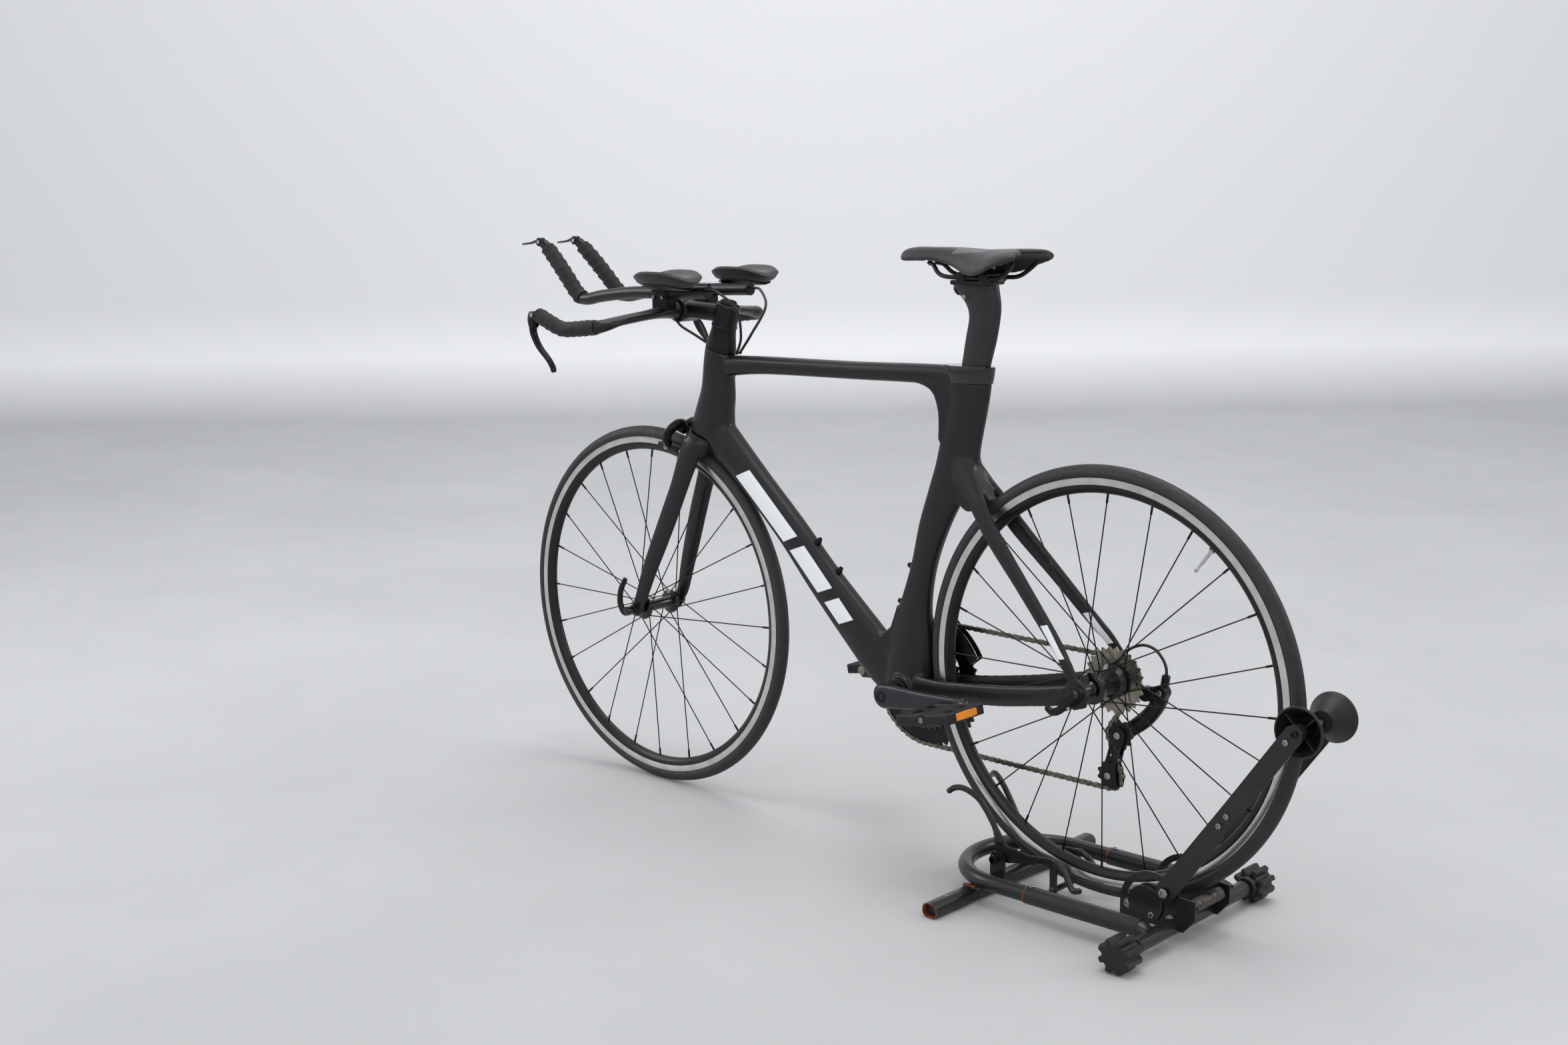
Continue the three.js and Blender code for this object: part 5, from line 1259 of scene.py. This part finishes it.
    mid = (x0 + (x1 - x0) * 0.52, z0 + (z1 - z0) * 0.52)
    low = (x0 + (x1 - x0) * 0.42, z0 + (z1 - z0) * 0.42)
    for s in (-1, 1):
        a.put(plate(circle((x0, z0), 16, 20, t + 90, 180) + circle(mid, 15, 3, t - 90, 180), 56 * s, 59.4
                    * s,
                    [circle((x0, z0), 5.6, 20)]), M_STAND)
        a.put(plate(circle(low, 14, 3, t + 90, 180) + circle((x1, z1), 15, 3, t - 90, 180), 59.4 * s, 62.4
                    * s), M_STAND)
        for f in (0.44, 0.50):
            o = (x0 + (x1 - x0) * f, z0 + (z1 - z0) * f)
            bolt((o[0], 62.4 * s, o[1]), (0, s, 0), 5, 3.2, M_ZINC, a, 6)
        bolt((x1 - 12, 62.4 * s, z1 - 14), (0, s, 0), 5, 3.2, M_ZINC, a, 6)
        bolt((x1, 62.4 * s, z1), (0, s, 0), 5.6, 3.6, M_BLACK, a, 6)
    a.put(cyl((x1, -60, z1), (x1, 60, z1), 5, 24), M_ZINC)
    a.make("arm_plates", "stand_arm", ["stand_arm"], "stand_paint")
    w = Piece()
    coil = [(184 + 8.6 * math.cos(k), -38 + 76 * k / (44 * math.pi), 60 + 8.6 * math.sin(k))
            for k in np.linspace(0, 44 * math.pi, 440)]
    w.put(tube([[*q, 1.5, 1.5] for q in coil], np.array([0, 1, 0.001]), 8, 2, 1), M_BARE)
    w.put(cyl((184, -45.4, 60), (184, 45.4, 60), 4.6, 20, 0.6), M_STAND)
    w.make("coil_spring", BASE, ["stand_spring"], "spring_steel")


make_stand()


# ---- Stage ---------------------------------------------------------------------------------
def make_stage():
    mesh = bpy.data.meshes.new("floor")
    y0, wall, r, n = -9.0, 6.2, 0.5, 10
    prof = [(y0, 0)] + [(wall - r + r * math.sin(k / n * math.pi / 2), r - r
                         * math.cos(k / n * math.pi / 2)) for k in range(n + 1)] \
        + [(wall, 8)]
    d = Vector((-math.sin(math.radians(43.6)), math.cos(math.radians(43.6)), 0))
    e = Vector((d.y, -d.x, 0))
    v, f = [], []
    for q, z in prof:
        v += [tuple(d * q + e * 30 + Vector((0, 0, z - 0.0005))),
              tuple(d * q - e * 30 + Vector((0, 0, z - 0.0005)))]
    for i in range(len(prof) - 1):
        f.append((2 * i, 2 * i + 1, 2 * i + 3, 2 * i + 2))
    mesh.from_pydata(v, [], f)
    n = surface("pale_floor", (0.42, 0.425, 0.43), (0.47, 0.475, 0.48), 0.55, 0.0, 1.2, 40, 0.02, 0.0005)
    xyz = coordinate(n)
    base = n.shader.inputs["Base Color"].links[0].from_socket
    n.link(n.mix(n.span(xyz[2], 0.002, 0.25, 0, 1), base, (0.80, 0.805, 0.81)),
           n.shader.inputs["Base Color"])
    mesh.materials.append(n.mat)
    mesh.shade_smooth()
    ob = bpy.data.objects.new("floor", mesh)
    bpy.context.scene.collection.objects.link(ob)

    world = bpy.data.worlds.new("studio")
    world.use_nodes = True
    world.node_tree.nodes["Background"].inputs[0].default_value = (0.95, 0.97, 1.0, 1)
    world.node_tree.nodes["Background"].inputs[1].default_value = 0.78
    bpy.context.scene.world = world

    def lamp(name, at, aim, power, size):
        light = bpy.data.lights.new(name, "AREA")
        light.shape, light.size, light.energy = "DISK", size, power
        ob = bpy.data.objects.new(name, light)
        ob.location = at
        ob.rotation_euler = (Vector(aim) - Vector(at)).to_track_quat("-Z", "Y").to_euler()
        bpy.context.scene.collection.objects.link(ob)

    lamp("top", (0.2, 0.3, 6.5), (0, 0, 0.3), 190, 4.5)
    lamp("left", (-2.9, -1.5, 2.1), (0, 0, 0.5), 26, 1.6)
    lamp("right", (2.6, 1.9, 2.2), (0, 0, 0.5), 26, 1.6)
    lamp("front", (1.2, -3.4, 2.4), (0, 0, 0.4), 16, 2.0)
    lamp("wall", (-1.9, 2.0, 5.5), (-4.3, 4.5, 2.2), 70, 4.0)
    bpy.context.scene.view_settings.view_transform = "Standard"


make_stage()
